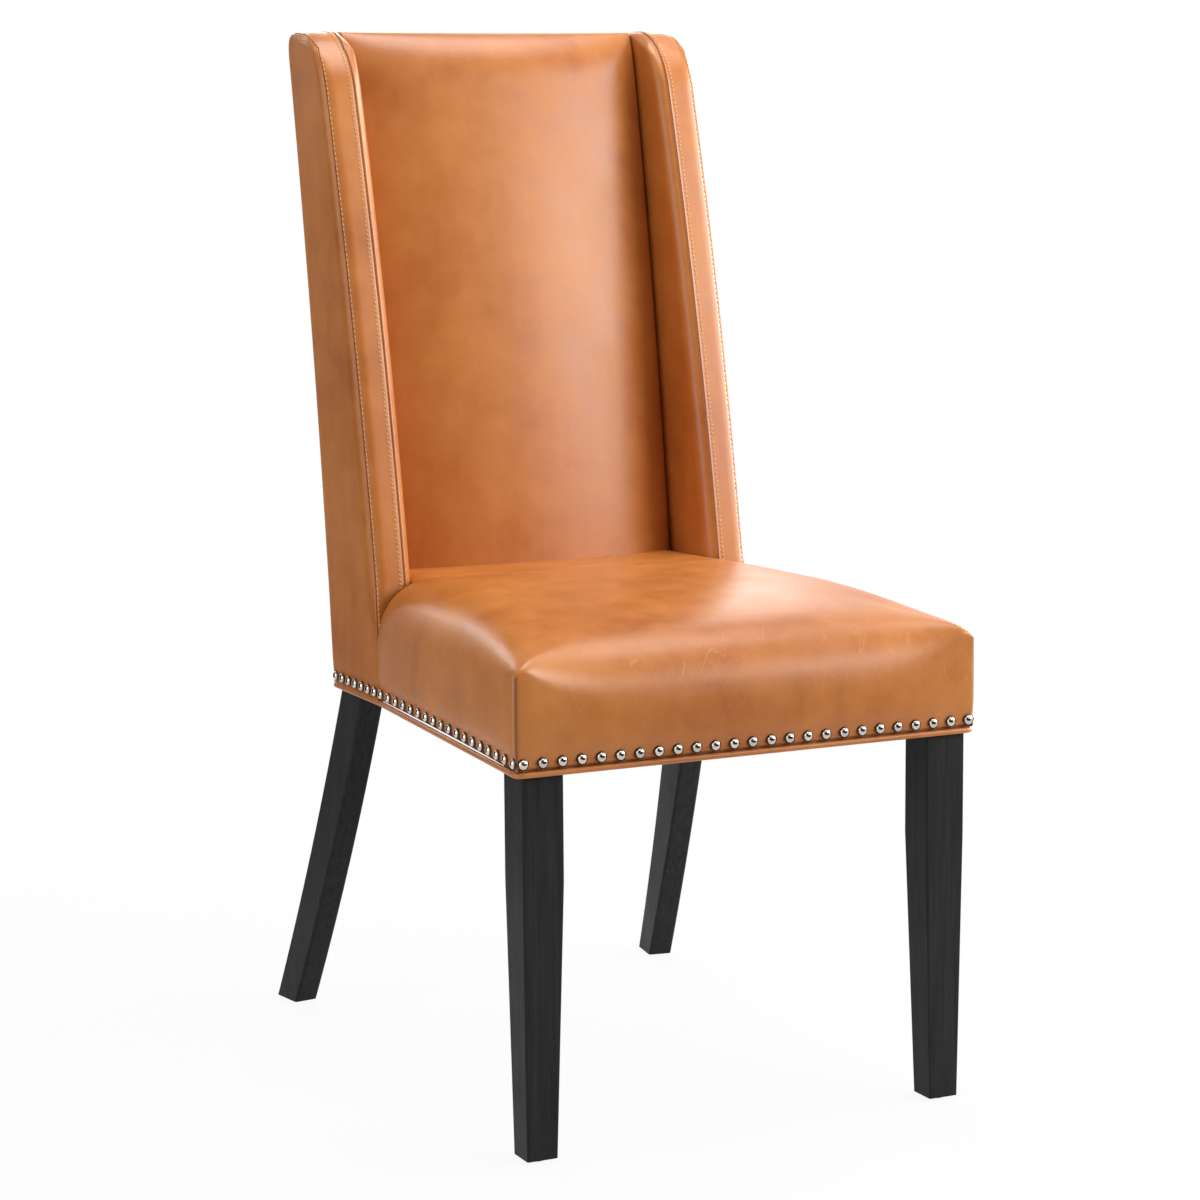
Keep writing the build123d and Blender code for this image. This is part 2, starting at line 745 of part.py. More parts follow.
# Back rails between the posts, and the mounting rail that meets the seat's rear rail
rail_reach = post_inner_x - touch_gap
bottom_low = cover_bottom + bottom_rail_rise
middle_low = cover_bottom + middle_rail_rise
top_low = back_height - top_rail_gap - top_rail_height
leather_inside = side_prism(side_profile(leather + ease, cover_bottom), -far, far)
back_rails = {}
for name, low, height in (
    ("bottom_back_rail", bottom_low, bottom_rail_height),
    ("middle_back_rail", middle_low, middle_rail_height),
    ("top_back_rail", top_low, top_rail_height),
):
    strip = rear_strip(back_rail_front_gap, back_rail_rear_gap, low, low + height)
    back_rails[name] = side_prism(strip, -rail_reach, rail_reach) & leather_inside
mounting_rear = break_y + mounting_rail_thickness
mounting_reach = panel_inner_x - touch_gap
mounting_rail = block(-mounting_reach, mounting_reach, break_y, mounting_rear, cover_bottom, rail_top)

# Dowels between the posts and the back rails
rail_dowels = []
rail_dowel_drills = []
for low, height in (
    (bottom_low, bottom_rail_height),
    (middle_low, middle_rail_height),
    (top_low, top_rail_height),
):
    for level in (-dowel_spacing / 2, dowel_spacing / 2):
        z = low + height / 2 + level
        y = back_rear(z) - (back_rail_front_gap + back_rail_rear_gap) / 2
        ends = (-post_inner_x - dowel_length / 2, -post_inner_x + dowel_length / 2)
        dowel = rod((ends[0], y, z), (ends[1], y, z), dowel_radius)
        drill = rod((ends[0] - ease, y, z), (ends[1] + ease, y, z), dowel_radius + drill_play)
        rail_dowels += [dowel, mirrored(dowel)]
        rail_dowel_drills += [drill, mirrored(drill)]
pieces["back_rail_dowels"] = group(rail_dowels)
for name, rail in back_rails.items():
    pieces[name] = rail - rail_dowel_drills
left_post -= rail_dowel_drills

# Wing panels on the posts' front edges, with dowels between them
left_panel = wing_panel()
wing_dowels = []
for index in range(wing_dowel_count):
    z = cover_bottom + wing_dowel_low + wing_dowel_pitch * index
    x = -(post_outer_x + panel_inner_x) / 2
    y = post_front(z)
    reach = dowel_length / 2
    dowel = rod((x, y - reach, z), (x, y + reach, z), dowel_radius)
    drill = rod((x, y - reach - ease, z), (x, y + reach + ease, z), dowel_radius + drill_play)
    wing_dowels += [dowel, mirrored(dowel)]
    left_panel -= drill
    left_post -= drill
pieces["wing_dowels"] = group(wing_dowels)
pieces["rear_left_leg"] = left_post
pieces["rear_right_leg"] = mirrored(left_post)

# Screws through the wing panels into the mounting rail's ends
mounting_screws = []
for level in (-mounting_screw_spacing / 2, mounting_screw_spacing / 2):
    y = break_y + mounting_screw_depth
    z = (cover_bottom + rail_top) / 2 + level
    start = (-post_outer_x, y, z)
    end = (-post_outer_x + mounting_screw_length, y, z)
    fixing = screw(start, end)
    drill = screw(start, end, drill_play)
    mounting_screws += [fixing, mirrored(fixing)]
    left_panel -= drill
    mounting_rail -= [drill, mirrored(drill)]
pieces["mounting_rail_screws"] = group(mounting_screws)

# Bolts, washers and nuts that join the two units
bolt_reach = unit_bolt_pitch * (unit_bolt_count - 1) / 2
bolt_level = (cover_bottom + rail_top) / 2
bolts = []
bolt_drills = []
bolt_washers = []
bolt_nuts = []
for x in spread(unit_bolt_count, -bolt_reach, bolt_reach):
    head_y = mounting_rear + washer_thickness
    nut_y = rear_rail_front - washer_thickness
    tip_y = nut_y - unit_nut_height - unit_bolt_tail
    head = hex_rod((x, head_y, bolt_level), (x, head_y + unit_bolt_head_height, bolt_level), unit_nut_flats)
    bolts.append(head + rod((x, tip_y, bolt_level), (x, head_y, bolt_level), unit_bolt_radius))
    bore = unit_bolt_radius + drill_play
    drill = rod((x, tip_y, bolt_level), (x, head_y, bolt_level), bore)
    bolt_drills.append(drill)
    for near in (mounting_rear, nut_y):
        bolt_washers.append(ring((x, near, bolt_level), (x, near + washer_thickness, bolt_level),
                                 unit_washer_radius, bore))
    nut = hex_rod((x, nut_y - unit_nut_height, bolt_level), (x, nut_y, bolt_level), unit_nut_flats)
    bolt_nuts.append(nut - drill)
pieces["back_to_seat_bolts"] = group(bolts)
pieces["back_to_seat_washers"] = group(bolt_washers)
pieces["back_to_seat_nuts"] = group(bolt_nuts)
pieces["rear_seat_rail"] = rear_rail - (bolt_drills + left_drills + right_drills)
pieces["back_mounting_rail"] = mounting_rail - bolt_drills

# Back webbing on the front of the back rails
strap_low = bottom_low + bottom_rail_height - back_strap_overlap
strap_high = top_low + back_strap_overlap
strap_outline = rear_strip(back_rail_front_gap + webbing + touch_gap, back_rail_front_gap + touch_gap,
                           strap_low, strap_high)
strap_reach = back_strap_pitch * (back_strap_count - 1) / 2
pieces["back_webbing"] = group(
    side_prism(strap_outline, x - back_strap_width / 2, x + back_strap_width / 2)
    for x in spread(back_strap_count, -strap_reach, strap_reach)
)

# Inside back: crowned foam under a leather cover that is open at the rear and below
pieces["back_foam"] = pad_form(leather + ease, pad_rear_gap, pad_foot)
inside_cover = pad_form(0.0, pad_rear_gap, pad_foot)
inside_cover -= pad_form(leather, pad_rear_gap - leather, pad_foot - leather)
pieces["inside_back_cover"] = only_solid(inside_cover)

# Wings: a leather shell in three panels over foam, round the panel and the post
wing_shell = wing_form(0.0, cover_bottom) - wing_form(leather, cover_bottom - 2 * leather)
high = 2 * back_height
rear_zone = side_prism(behind(back_rear, -leather - 2 * ease), -outer_seam_x, outer_seam_x)
frame_zone = side_prism(behind(back_rear, -pad_rear_gap - ease), -post_inner_x, post_inner_x)
lower_zone = block(-panel_inner_x, panel_inner_x, -far, far, 0, pad_foot)
wing_shell = wing_shell - rear_zone - frame_zone - lower_zone
left_outer_cover = only_solid(wing_shell & block(-far, -outer_seam_x, -far, far, 0, high))
left_band = only_solid(wing_shell & block(-outer_seam_x, -inner_seam_x, -far, far, 0, high))
left_inner_cover = only_solid(wing_shell & block(-inner_seam_x, 0, -far, far, 0, high))

foam_rear_zone = side_prism(behind(back_rear, -post_rear_gap), -far, far)
left_wing_foam = wing_form(leather + ease, cover_bottom + ease) - foam_rear_zone - frame_zone - lower_zone
left_wing_foam -= rear_leg(ease)
left_wing_foam -= wing_panel(ease)
left_wing_foam = only_solid(left_wing_foam)

# Back nails through the outer covers into the wing panels and posts
back_nails = nail_places_back()
back_drills = [nail_drill(place) for place in back_nails]
right_back_nails = [mirrored_place(place) for place in back_nails]
pieces["back_nails"] = group([place * one_nail for place in back_nails + right_back_nails])
left_outer_cover -= back_drills
left_wing_foam -= back_drills
left_panel -= back_drills
for side, turn in (("left", lambda shape: shape), ("right", mirrored)):
    pieces[f"{side}_wing_panel"] = turn(left_panel)
    pieces[f"{side}_wing_foam"] = turn(left_wing_foam)
    pieces[f"{side}_wing_outer_cover"] = turn(left_outer_cover)
    pieces[f"{side}_wing_front_band"] = turn(left_band)
    pieces[f"{side}_wing_inner_cover"] = turn(left_inner_cover)

# Outside back: one leather panel down the rear face, turned over the top rail between the wings
back_skin = side_prism(side_profile(0.0, cover_bottom), touch_gap - outer_seam_x, outer_seam_x - touch_gap)
back_skin -= side_prism(side_profile(leather, cover_bottom - 2 * leather), -far, far)
face_zone = side_prism(behind(back_rear, -leather - ease), -far, far)
over_reach = post_inner_x - touch_gap
over_zone = side_prism(behind(back_rear, ease - pad_rear_gap), -over_reach, over_reach)
pieces["outside_back_cover"] = only_solid(back_skin & (face_zone + over_zone))

# Back welt round the sides and rear
rear_corner_y = back_rear(cover_bottom) - welt_inset
back_left_end = Vector(-(back_half - welt_inset), back_front_y, welt_height)
back_left_corner = Vector(back_left_end.X, rear_corner_y, welt_height)
back_right_corner = Vector(-back_left_end.X, rear_corner_y, welt_height)
back_right_end = Vector(-back_left_end.X, back_front_y, welt_height)
back_path = FilletPolyline(back_left_end, back_left_corner, back_right_corner, back_right_end,
                           radius=welt_corner_radius)
back_start = Plane(origin=back_left_end, z_dir=(0, 1, 0))
pieces["back_welt"] = sweep(back_start * Circle(welt_radius), path=back_path)

# Cambric dust cover under the back unit, cut out round the rear legs
leg_room = [rear_leg(ease), mirrored(rear_leg(ease))]
back_cambric_half = back_half - cambric_margin - leather
back_cambric = block(-back_cambric_half, back_cambric_half, back_front_y + cambric_margin,
                     rear_corner_y - cambric_margin, cambric_top - cambric, cambric_top)
pieces["back_dust_cover"] = only_solid(back_cambric - leg_room)

# Move the origin under the middle of the chair and write one file for each piece
front_end = pieces["seat_nails"].bounding_box().min.Y
rear_end = pieces["rear_left_leg"].bounding_box().max.Y
to_origin = Pos(0, -(front_end + rear_end) / 2, 0)
os.makedirs("parts", exist_ok=True)
for name, shape in pieces.items():
    export_step(to_origin * shape, f"parts/{name}.step")
print(len(pieces), "pieces, middle at y", round((front_end + rear_end) / 2, 3))
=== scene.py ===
import json
import math

import bmesh
import bpy
import numpy
from mathutils import Matrix, Vector, noise
from mathutils.bvhtree import BVHTree
from mathutils.kdtree import KDTree


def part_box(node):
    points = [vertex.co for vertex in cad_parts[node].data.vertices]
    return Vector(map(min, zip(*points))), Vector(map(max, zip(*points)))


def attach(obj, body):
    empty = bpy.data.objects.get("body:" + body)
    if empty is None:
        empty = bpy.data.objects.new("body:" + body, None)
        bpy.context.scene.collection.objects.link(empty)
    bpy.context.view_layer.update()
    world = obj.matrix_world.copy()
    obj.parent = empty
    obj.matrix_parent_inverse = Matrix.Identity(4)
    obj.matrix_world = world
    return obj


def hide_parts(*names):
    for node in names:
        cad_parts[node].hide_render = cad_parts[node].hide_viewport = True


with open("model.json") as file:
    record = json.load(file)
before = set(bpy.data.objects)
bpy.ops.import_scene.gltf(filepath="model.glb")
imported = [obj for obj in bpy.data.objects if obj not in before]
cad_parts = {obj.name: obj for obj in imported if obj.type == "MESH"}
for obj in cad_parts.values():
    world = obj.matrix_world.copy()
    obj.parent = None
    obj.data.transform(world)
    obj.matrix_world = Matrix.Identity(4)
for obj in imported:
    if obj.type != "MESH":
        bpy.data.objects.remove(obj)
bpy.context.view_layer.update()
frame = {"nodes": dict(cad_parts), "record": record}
scene = bpy.context.scene
nodes = frame["nodes"]
mm = 0.001
weld = 1e-6  # metres: points closer than this are one
print("frame loaded:", len(nodes), "CAD nodes")


# small tools
def steps(start, end, count):
    return [start + (end - start) * index / count for index in range(count + 1)]


def mix(low, high, share):
    return low + (high - low) * share


def bell(distance, width):
    return math.exp(-(distance / width) ** 2)


def clamp(value, low, high):
    return max(low, min(high, value))


# 0 below low, 1 above high, and a straight line between
def rise(value, low, high):
    return clamp((value - low) / (high - low), 0, 1)


# box whose faces are cut into a net along the given lines
def netBox(xs, ys, zs):
    bm = bmesh.new()
    bmesh.ops.create_cube(bm, size=1.0)
    low = Vector((xs[0], ys[0], zs[0]))
    high = Vector((xs[-1], ys[-1], zs[-1]))
    bmesh.ops.scale(bm, vec=high - low, verts=bm.verts)
    bmesh.ops.translate(bm, vec=(low + high) / 2, verts=bm.verts)
    for axis, places in enumerate((xs, ys, zs)):
        normal = Vector((axis == 0, axis == 1, axis == 2))
        for place in places[1:-1]:
            everything = bm.verts[:] + bm.edges[:] + bm.faces[:]
            bmesh.ops.bisect_plane(bm, geom=everything, dist=weld, plane_co=normal * place, plane_no=normal)
    return bm


# moves the net's points to their places, and keeps where on the net each one was
def shapeNet(bm, place):
    spots = [vert.co.copy() for vert in bm.verts]
    for vert, spot in zip(bm.verts, spots):
        vert.co = place(spot)
    return spots


def newObject(name, bm, material):
    mesh = bpy.data.meshes.new(name)
    bm.to_mesh(mesh)
    bm.free()
    mesh.materials.append(material)
    made = bpy.data.objects.new(name, mesh)
    scene.collection.objects.link(made)
    return made


def finishPiece(name, bm, material, replaced=()):
    bmesh.ops.recalc_face_normals(bm, faces=bm.faces)
    piece = newObject(name, bm, material)
    piece.data.shade_smooth()
    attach(piece, "root")
    if replaced:
        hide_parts(*replaced)
    return piece


def addSubdivision(piece, levels=1):
    smoother = piece.modifiers.new("subdivision", "SUBSURF")
    smoother.levels = levels
    smoother.render_levels = levels


def addAttribute(piece, name, values):
    layer = piece.data.attributes.new(name, "FLOAT", "POINT")
    layer.data.foreach_set("value", values)


clothSettings = {"frames": 20, "quality": 7, "mass": 0.25, "tension": 40.0, "shear": 15.0, "bending": 8.0,
                 "calming": 10}


def coordinates(mesh):
    flat = numpy.empty(3 * len(mesh.vertices))
    mesh.vertices.foreach_get("co", flat)
    return flat.reshape(-1, 3)


# blows leather up between the places where it is sewn or tacked; sewn gives a hold from 0 to 1
def inflate(piece, spots, sewn, pressure, cap):
    held = [sewn(spot) for spot in spots]
    hold = piece.vertex_groups.new(name="sewn")
    for index, weight in enumerate(held):
        hold.add([index], weight, "REPLACE")
    cloth = piece.modifiers.new("cloth", "CLOTH")
    settings = cloth.settings
    settings.quality = clothSettings["quality"]
    settings.mass = clothSettings["mass"]
    settings.tension_stiffness = clothSettings["tension"]
    settings.compression_stiffness = clothSettings["tension"]
    settings.shear_stiffness = clothSettings["shear"]
    settings.bending_stiffness = clothSettings["bending"]
    settings.use_pressure = True
    settings.uniform_pressure_force = pressure
    settings.vertex_group_mass = hold.name
    settings.effector_weights.gravity = 0.0
    cloth.collision_settings.use_collision = False
    for number in range(1, clothSettings["frames"] + 1):
        scene.frame_set(number)
    swollen = piece.evaluated_get(bpy.context.evaluated_depsgraph_get()).data
    before = coordinates(piece.data)
    shifts = coordinates(swollen) - before
    piece.modifiers.remove(cloth)
    piece.vertex_groups.remove(hold)
    ends = numpy.array([edge.vertices[:] for edge in piece.data.edges])
    loose = (numpy.array(held) < 1)[:, None]
    for _ in range(clothSettings["calming"]):  # evens out small dents
        total = shifts.copy()
        count = numpy.ones((len(shifts), 1))
        for here, there in (ends.T, ends.T[::-1]):
            numpy.add.at(total, here, shifts[there])
            numpy.add.at(count, here, 1)
        shifts = total / count * loose
    lengths = numpy.maximum(numpy.linalg.norm(shifts, axis=1, keepdims=True), weld)
    after = before + shifts * (cap * numpy.tanh(lengths / cap) / lengths)
    piece.data.vertices.foreach_set("co", after.ravel())
    piece.data.update()
    scene.frame_set(1)
    print(piece.name, "inflated, longest move", round(lengths.max() / mm, 2), "mm, cap", round(cap / mm, 1))


# materials
def newMaterial(name):
    material = bpy.data.materials.new(name)
    material.use_nodes = True
    tree = material.node_tree
    tree.nodes.clear()
    output = tree.nodes.new("ShaderNodeOutputMaterial")
    shader = tree.nodes.new("ShaderNodeBsdfPrincipled")
    tree.links.new(shader.outputs["BSDF"], output.inputs["Surface"])
    return material, tree, shader


def addNode(tree, kind, sockets=None, **settings):
    made = tree.nodes.new(kind)
    for name, value in settings.items():
        setattr(made, name, value)
    for name, value in (sockets or {}).items():
        if isinstance(value, bpy.types.NodeSocket):
            tree.links.new(value, made.inputs[name])
        else:
            made.inputs[name].default_value = value
    return made


def addMath(tree, operation, first, second):
    made = tree.nodes.new("ShaderNodeMath")
    made.operation = operation
    for socket, value in zip(made.inputs, (first, second)):
        if isinstance(value, bpy.types.NodeSocket):
            tree.links.new(value, socket)
        else:
            socket.default_value = value
    return made.outputs[0]


def addNoise(tree, vector, scale, detail, roughness=0.5):
    sockets = {"Vector": vector, "Scale": scale, "Detail": detail, "Roughness": roughness}
    return addNode(tree, "ShaderNodeTexNoise", sockets).outputs["Fac"]


def addRamp(tree, factor, stops):
    ramp = addNode(tree, "ShaderNodeValToRGB", {"Fac": factor})
    stops = list(stops)
    points = ramp.color_ramp.elements
    while len(points) < len(stops):
        points.new(0.5)
    for point, (place, colour) in zip(points, stops):
        point.position = place
        point.color = (*colour, 1.0)
    return ramp.outputs["Color"]


def addMapping(tree, vector, **sockets):
    return addNode(tree, "ShaderNodeMapping", {"Vector": vector, **sockets}).outputs[0]


def addRange(tree, value, given, wanted):
    names = ("From Min", "From Max", "To Min", "To Max")
    sockets = {"Value": value, **dict(zip(names, (*given, *wanted)))}
    return addNode(tree, "ShaderNodeMapRange", sockets).outputs[0]


def addTint(tree, share, colour, tint):
    sockets = {"Fac": share, "Color1": colour, "Color2": (*tint, 1.0)}
    return addNode(tree, "ShaderNodeMixRGB", sockets).outputs[0]


def readAttribute(tree, name):
    return addNode(tree, "ShaderNodeAttribute", attribute_name=name).outputs["Fac"]


def addBump(tree, height, strength, distance, normal=None):
    sockets = {"Height": height, "Strength": strength, "Distance": distance}
    if normal is not None:
        sockets["Normal"] = normal
    return addNode(tree, "ShaderNodeBump", sockets).outputs["Normal"]


def objectCoordinates(tree):
    return tree.nodes.new("ShaderNodeTexCoord").outputs["Object"]


noiseSpread = (0.3, 0.7)  # where most of a noise's values lie


leatherLook = {
    "dark": (0.375, 0.108, 0.019),
    "middle": (0.475, 0.155, 0.029),
    "light": (0.560, 0.205, 0.045),
    # painted shade colour for the seam grooves, the pucker dimple and the hem
    "seamShade": (0.130, 0.034, 0.010),
    # painted highlight colour along the hairline creases
    "creaseHighlight": (0.700, 0.360, 0.150),
    "roughness": (0.31, 0.41),
    "specular": 0.45,
    "cloudScale": 6.0,  # per metre
    "mottleScale": 26.0,
    "streakScale": (75.0, 75.0, 6.0),
    "cloudShare": 0.52,
    "mottleShare": 0.36,
    "streakShare": 0.12,
    "toneStops": (0.34, 0.50, 0.68),  # where dark, middle and light lie
    "grainScale": 850.0,
    "poreScale": 2400.0,
    "creaseScale": (85.0, 10.0, 6.0),
    "creaseLeans": (-0.55, 0.35),  # the two ways that the hairlines lean
    "creaseLine": 0.007,
    "creasePatchScale": 18.0,
    "creasePatches": (0.43, 0.58),  # the noise between bare leather and creased leather
    "creaseHighlightShare": 0.34,
    "grainBump": (0.08, 0.4 * mm),  # strength, depth
    "poreBump": (0.05, 0.3 * mm),
    "mottleBump": (0.06, 4.0 * mm),
    "creaseBump": (0.18, 0.6 * mm),
}


# hairlines, long and some way apart, where the piece's crease attribute asks for them
def addCreases(tree, place):
    look = leatherLook
    patches = addNoise(tree, place, look["creasePatchScale"], 2.0)
    sparse = addRange(tree, patches, look["creasePatches"], (0.0, 1.0))
    shown = 0.0
    for lean in look["creaseLeans"]:
        turned = addMapping(tree, place, Rotation=(0.0, lean, 0.0))
        drawn = addMapping(tree, turned, Scale=look["creaseScale"])
        level = addMath(tree, "SUBTRACT", addNoise(tree, drawn, 1.0, 0.6), 0.5)
        line = addRange(tree, addMath(tree, "ABSOLUTE", level, 0.0), (0.0, look["creaseLine"]), (1.0, 0.0))
        shown = addMath(tree, "MAXIMUM", shown, line)
    shown = addMath(tree, "MULTIPLY", shown, sparse)
    return addMath(tree, "MULTIPLY", shown, readAttribute(tree, "crease"))


def makeLeather():
    look = leatherLook
    material, tree, shader = newMaterial("caramelLeather")
    place = objectCoordinates(tree)
    cloud = addNoise(tree, place, look["cloudScale"], 3.0)
    mottle = addNoise(tree, place, look["mottleScale"], 6.0, 0.62)
    streak = addNoise(tree, addMapping(tree, place, Scale=look["streakScale"]), 1.0, 4.0, 0.6)
    blend = addMath(tree, "MULTIPLY", cloud, look["cloudShare"])
    for share, part in ((look["mottleShare"], mottle), (look["streakShare"], streak)):
        blend = addMath(tree, "ADD", blend, addMath(tree, "MULTIPLY", part, share))
    colour = addRamp(tree, blend, zip(look["toneStops"], (look["dark"], look["middle"], look["light"])))
    crease = addCreases(tree, place)
    # painted highlight: the hairline creases are lightened
    colour = addTint(tree, addMath(tree, "MULTIPLY", crease, look["creaseHighlightShare"]), colour, look["creaseHighlight"])
    # painted shade in the seam grooves, the pucker dimple and the hem above the welt
    colour = addTint(tree, readAttribute(tree, "seamShade"), colour, look["seamShade"])
    tree.links.new(colour, shader.inputs["Base Color"])
    tree.links.new(addRange(tree, mottle, noiseSpread, look["roughness"]), shader.inputs["Roughness"])
    sockets = {"Vector": place, "Scale": look["grainScale"]}
    grain = addNode(tree, "ShaderNodeTexVoronoi", sockets).outputs["Distance"]
    pores = addNoise(tree, place, look["poreScale"], 2.0)
    normal = addBump(tree, grain, *look["grainBump"])
    normal = addBump(tree, pores, *look["poreBump"], normal)
    normal = addBump(tree, mottle, *look["mottleBump"], normal)
    normal = addBump(tree, crease, *look["creaseBump"], normal)
    tree.links.new(normal, shader.inputs["Normal"])
    shader.inputs["Specular IOR Level"].default_value = look["specular"]
    return material


lacquerLook = {
    "dark": (0.019, 0.019, 0.019),
    "light": (0.031, 0.031, 0.031),
    "roughness": (0.40, 0.50),
    "specular": 0.07,
    "grainScale": (220.0, 220.0, 9.0),
    "hazeScale": 14.0,
    "grainBump": (0.10, 0.5 * mm),
}


def makeLacquer():
    look = lacquerLook
    material, tree, shader = newMaterial("blackLacquer")
    place = objectCoordinates(tree)
    grain = addNoise(tree, addMapping(tree, place, Scale=look["grainScale"]), 1.0, 5.0, 0.6)
    haze = addNoise(tree, place, look["hazeScale"], 4.0)
    colour = addRamp(tree, grain, ((0.35, look["dark"]), (0.70, look["light"])))
    tree.links.new(colour, shader.inputs["Base Color"])
    tree.links.new(addRange(tree, haze, noiseSpread, look["roughness"]), shader.inputs["Roughness"])
    tree.links.new(addBump(tree, grain, *look["grainBump"]), shader.inputs["Normal"])
    shader.inputs["Specular IOR Level"].default_value = look["specular"]
    return material


nickelLook = {
    "dark": (0.48, 0.44, 0.40),
    "light": (0.64, 0.59, 0.54),
    # painted shade colour for the nail's rim and the foot of its dome
    "rimShade": (0.035, 0.022, 0.015),
    "roughness": (0.07, 0.16),
    "scuffScale": 900.0,
    "tarnishScale": 60.0,
}


def makeNickel():
    look = nickelLook
    material, tree, shader = newMaterial("polishedNickel")
    place = objectCoordinates(tree)
    scuff = addNoise(tree, place, look["scuffScale"], 3.0)
    tarnish = addNoise(tree, place, look["tarnishScale"], 3.0)
    colour = addRamp(tree, tarnish, ((0.35, look["dark"]), (0.65, look["light"])))
    # painted shade and painted dark reflection at the rim and the foot of each dome
    colour = addTint(tree, readAttribute(tree, "rimShade"), colour, look["rimShade"])
    tree.links.new(colour, shader.inputs["Base Color"])
    tree.links.new(addRange(tree, scuff, noiseSpread, look["roughness"]), shader.inputs["Roughness"])
    shader.inputs["Metallic"].default_value = 1.0
    return material


def makeWood(name, dark, light, ringScale):
    material, tree, shader = newMaterial(name)
    place = objectCoordinates(tree)
    grain = addNoise(tree, addMapping(tree, place, Scale=ringScale), 1.0, 6.0, 0.62)
    tree.links.new(addRamp(tree, grain, ((0.35, dark), (0.65, light))), shader.inputs["Base Color"])
    tree.links.new(addBump(tree, grain, 0.2, 0.6 * mm), shader.inputs["Normal"])
    shader.inputs["Roughness"].default_value = 0.6
    return material


def makeCloth(name, dark, light, threadsPerMetre, roughness):
    material, tree, shader = newMaterial(name)
    place = objectCoordinates(tree)
    waves = []
    for direction in ("X", "Y"):
        sockets = {"Vector": place, "Scale": threadsPerMetre, "Distortion": 0.4, "Detail": 1.0}
        waves.append(addNode(tree, "ShaderNodeTexWave", sockets, bands_direction=direction).outputs["Fac"])
    weave = addMath(tree, "MULTIPLY", *waves)
    tree.links.new(addRamp(tree, weave, ((0.1, dark), (0.8, light))), shader.inputs["Base Color"])
    tree.links.new(addBump(tree, weave, 0.4, 0.4 * mm), shader.inputs["Normal"])
    shader.inputs["Roughness"].default_value = roughness
    shader.inputs["Sheen Weight"].default_value = 0.2
    return material


def makeSteel():
    material, tree, shader = newMaterial("zincSteel")
    place = objectCoordinates(tree)
    brushed = addNoise(tree, place, 700.0, 4.0)
    tree.links.new(addRamp(tree, brushed, ((0.3, (0.42, 0.43, 0.45)), (0.7, (0.64, 0.65, 0.67)))),
                   shader.inputs["Base Color"])
    shader.inputs["Metallic"].default_value = 1.0
    shader.inputs["Roughness"].default_value = 0.35
    return material


def makePlastic():
    material, tree, shader = newMaterial("glidePlastic")
    speckle = addNoise(tree, objectCoordinates(tree), 1200.0, 2.0)
    tree.links.new(addRamp(tree, speckle, ((0.3, (0.05, 0.048, 0.045)), (0.7, (0.09, 0.086, 0.08)))),
                   shader.inputs["Base Color"])
    tree.links.new(addBump(tree, speckle, 0.15, 0.2 * mm), shader.inputs["Normal"])
    shader.inputs["Roughness"].default_value = 0.55
    return material


def makeThread(name, dark, light):
    material, tree, shader = newMaterial(name)
    sockets = {"Vector": objectCoordinates(tree), "Scale": 900.0, "Distortion": 2.0}
    twist = addNode(tree, "ShaderNodeTexWave", sockets, bands_direction="DIAGONAL").outputs["Fac"]
    tree.links.new(addRamp(tree, twist, ((0.2, dark), (0.8, light))), shader.inputs["Base Color"])
    tree.links.new(addBump(tree, twist, 0.3, 0.2 * mm), shader.inputs["Normal"])
    shader.inputs["Roughness"].default_value = 0.6
    return material


leather = makeLeather()
thread = makeThread("tanThread", (0.54, 0.26, 0.09), (0.74, 0.44, 0.20))
# painted shade: near-black spheres stand for the shaded needle holes along the inner seam
needleHoleShade = makeThread("needleHoleShade", (0.05, 0.016, 0.006), (0.14, 0.05, 0.02))
finishes = {
    "leather": leather,
    "black_lacquer": makeLacquer(),
    "frame_wood": makeWood("frameWood", (0.42, 0.27, 0.14), (0.62, 0.45, 0.27), (25.0, 25.0, 90.0)),
    "plywood": makeWood("plywood", (0.50, 0.36, 0.21), (0.68, 0.52, 0.34), (260.0, 12.0, 12.0)),
    "webbing": makeCloth("elasticWebbing", (0.02, 0.02, 0.02), (0.09, 0.09, 0.09), 260.0, 0.8),
    "dust_cover_cloth": makeCloth("blackCambric", (0.010, 0.010, 0.010), (0.030, 0.030, 0.030), 420.0, 0.9),
    "nickel": makeNickel(),
    "zinc_steel": makeSteel(),
    "glide_plastic": makePlastic(),
}
for row in frame["record"]["subparts"]:
    finish = finishes.get(row["material_slot"])
    if finish:
        mesh = nodes[row["node"]].data
        mesh.materials.clear()
        mesh.materials.append(finish)
print("materials made:", len(finishes))

# lines of the back seen from the side, as y at height z
backShape = {
    "footDepth": 127.5 * mm,
    "topRearReach": 227.0 * mm,  # from the break between the units to the top of the rear face
    "topDepth": 87.0 * mm,
    "frontBow": 12.0 * mm,
    "rearBow": 9.0 * mm,
    "startRise": 57.0 * mm,
    "proud": 3.0 * mm,  # leather over the top rail
}
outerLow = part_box("left_wing_outer_cover")[0]
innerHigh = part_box("left_wing_inner_cover")[1]
backHalf = -outerLow.x
breakY = outerLow.y
footZ = outerLow.z
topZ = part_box("left_wing_front_band")[1].z + backShape["proud"]


def bowed(z, low, high, bow):
    share = (z - low[1]) / (high[1] - low[1])
    return low[0] + (high[0] - low[0]) * share - 4 * bow * share * (1 - share)


def rearLine(z):
    low = (breakY + backShape["footDepth"], footZ)
    high = (breakY + backShape["topRearReach"], topZ)
    return bowed(z, low, high, backShape["rearBow"])


def frontLine(z):
    low = (breakY, footZ + backShape["startRise"])
    high = (breakY + backShape["topRearReach"] - backShape["topDepth"], topZ)
    return bowed(max(z, low[1]), low, high, backShape["frontBow"])


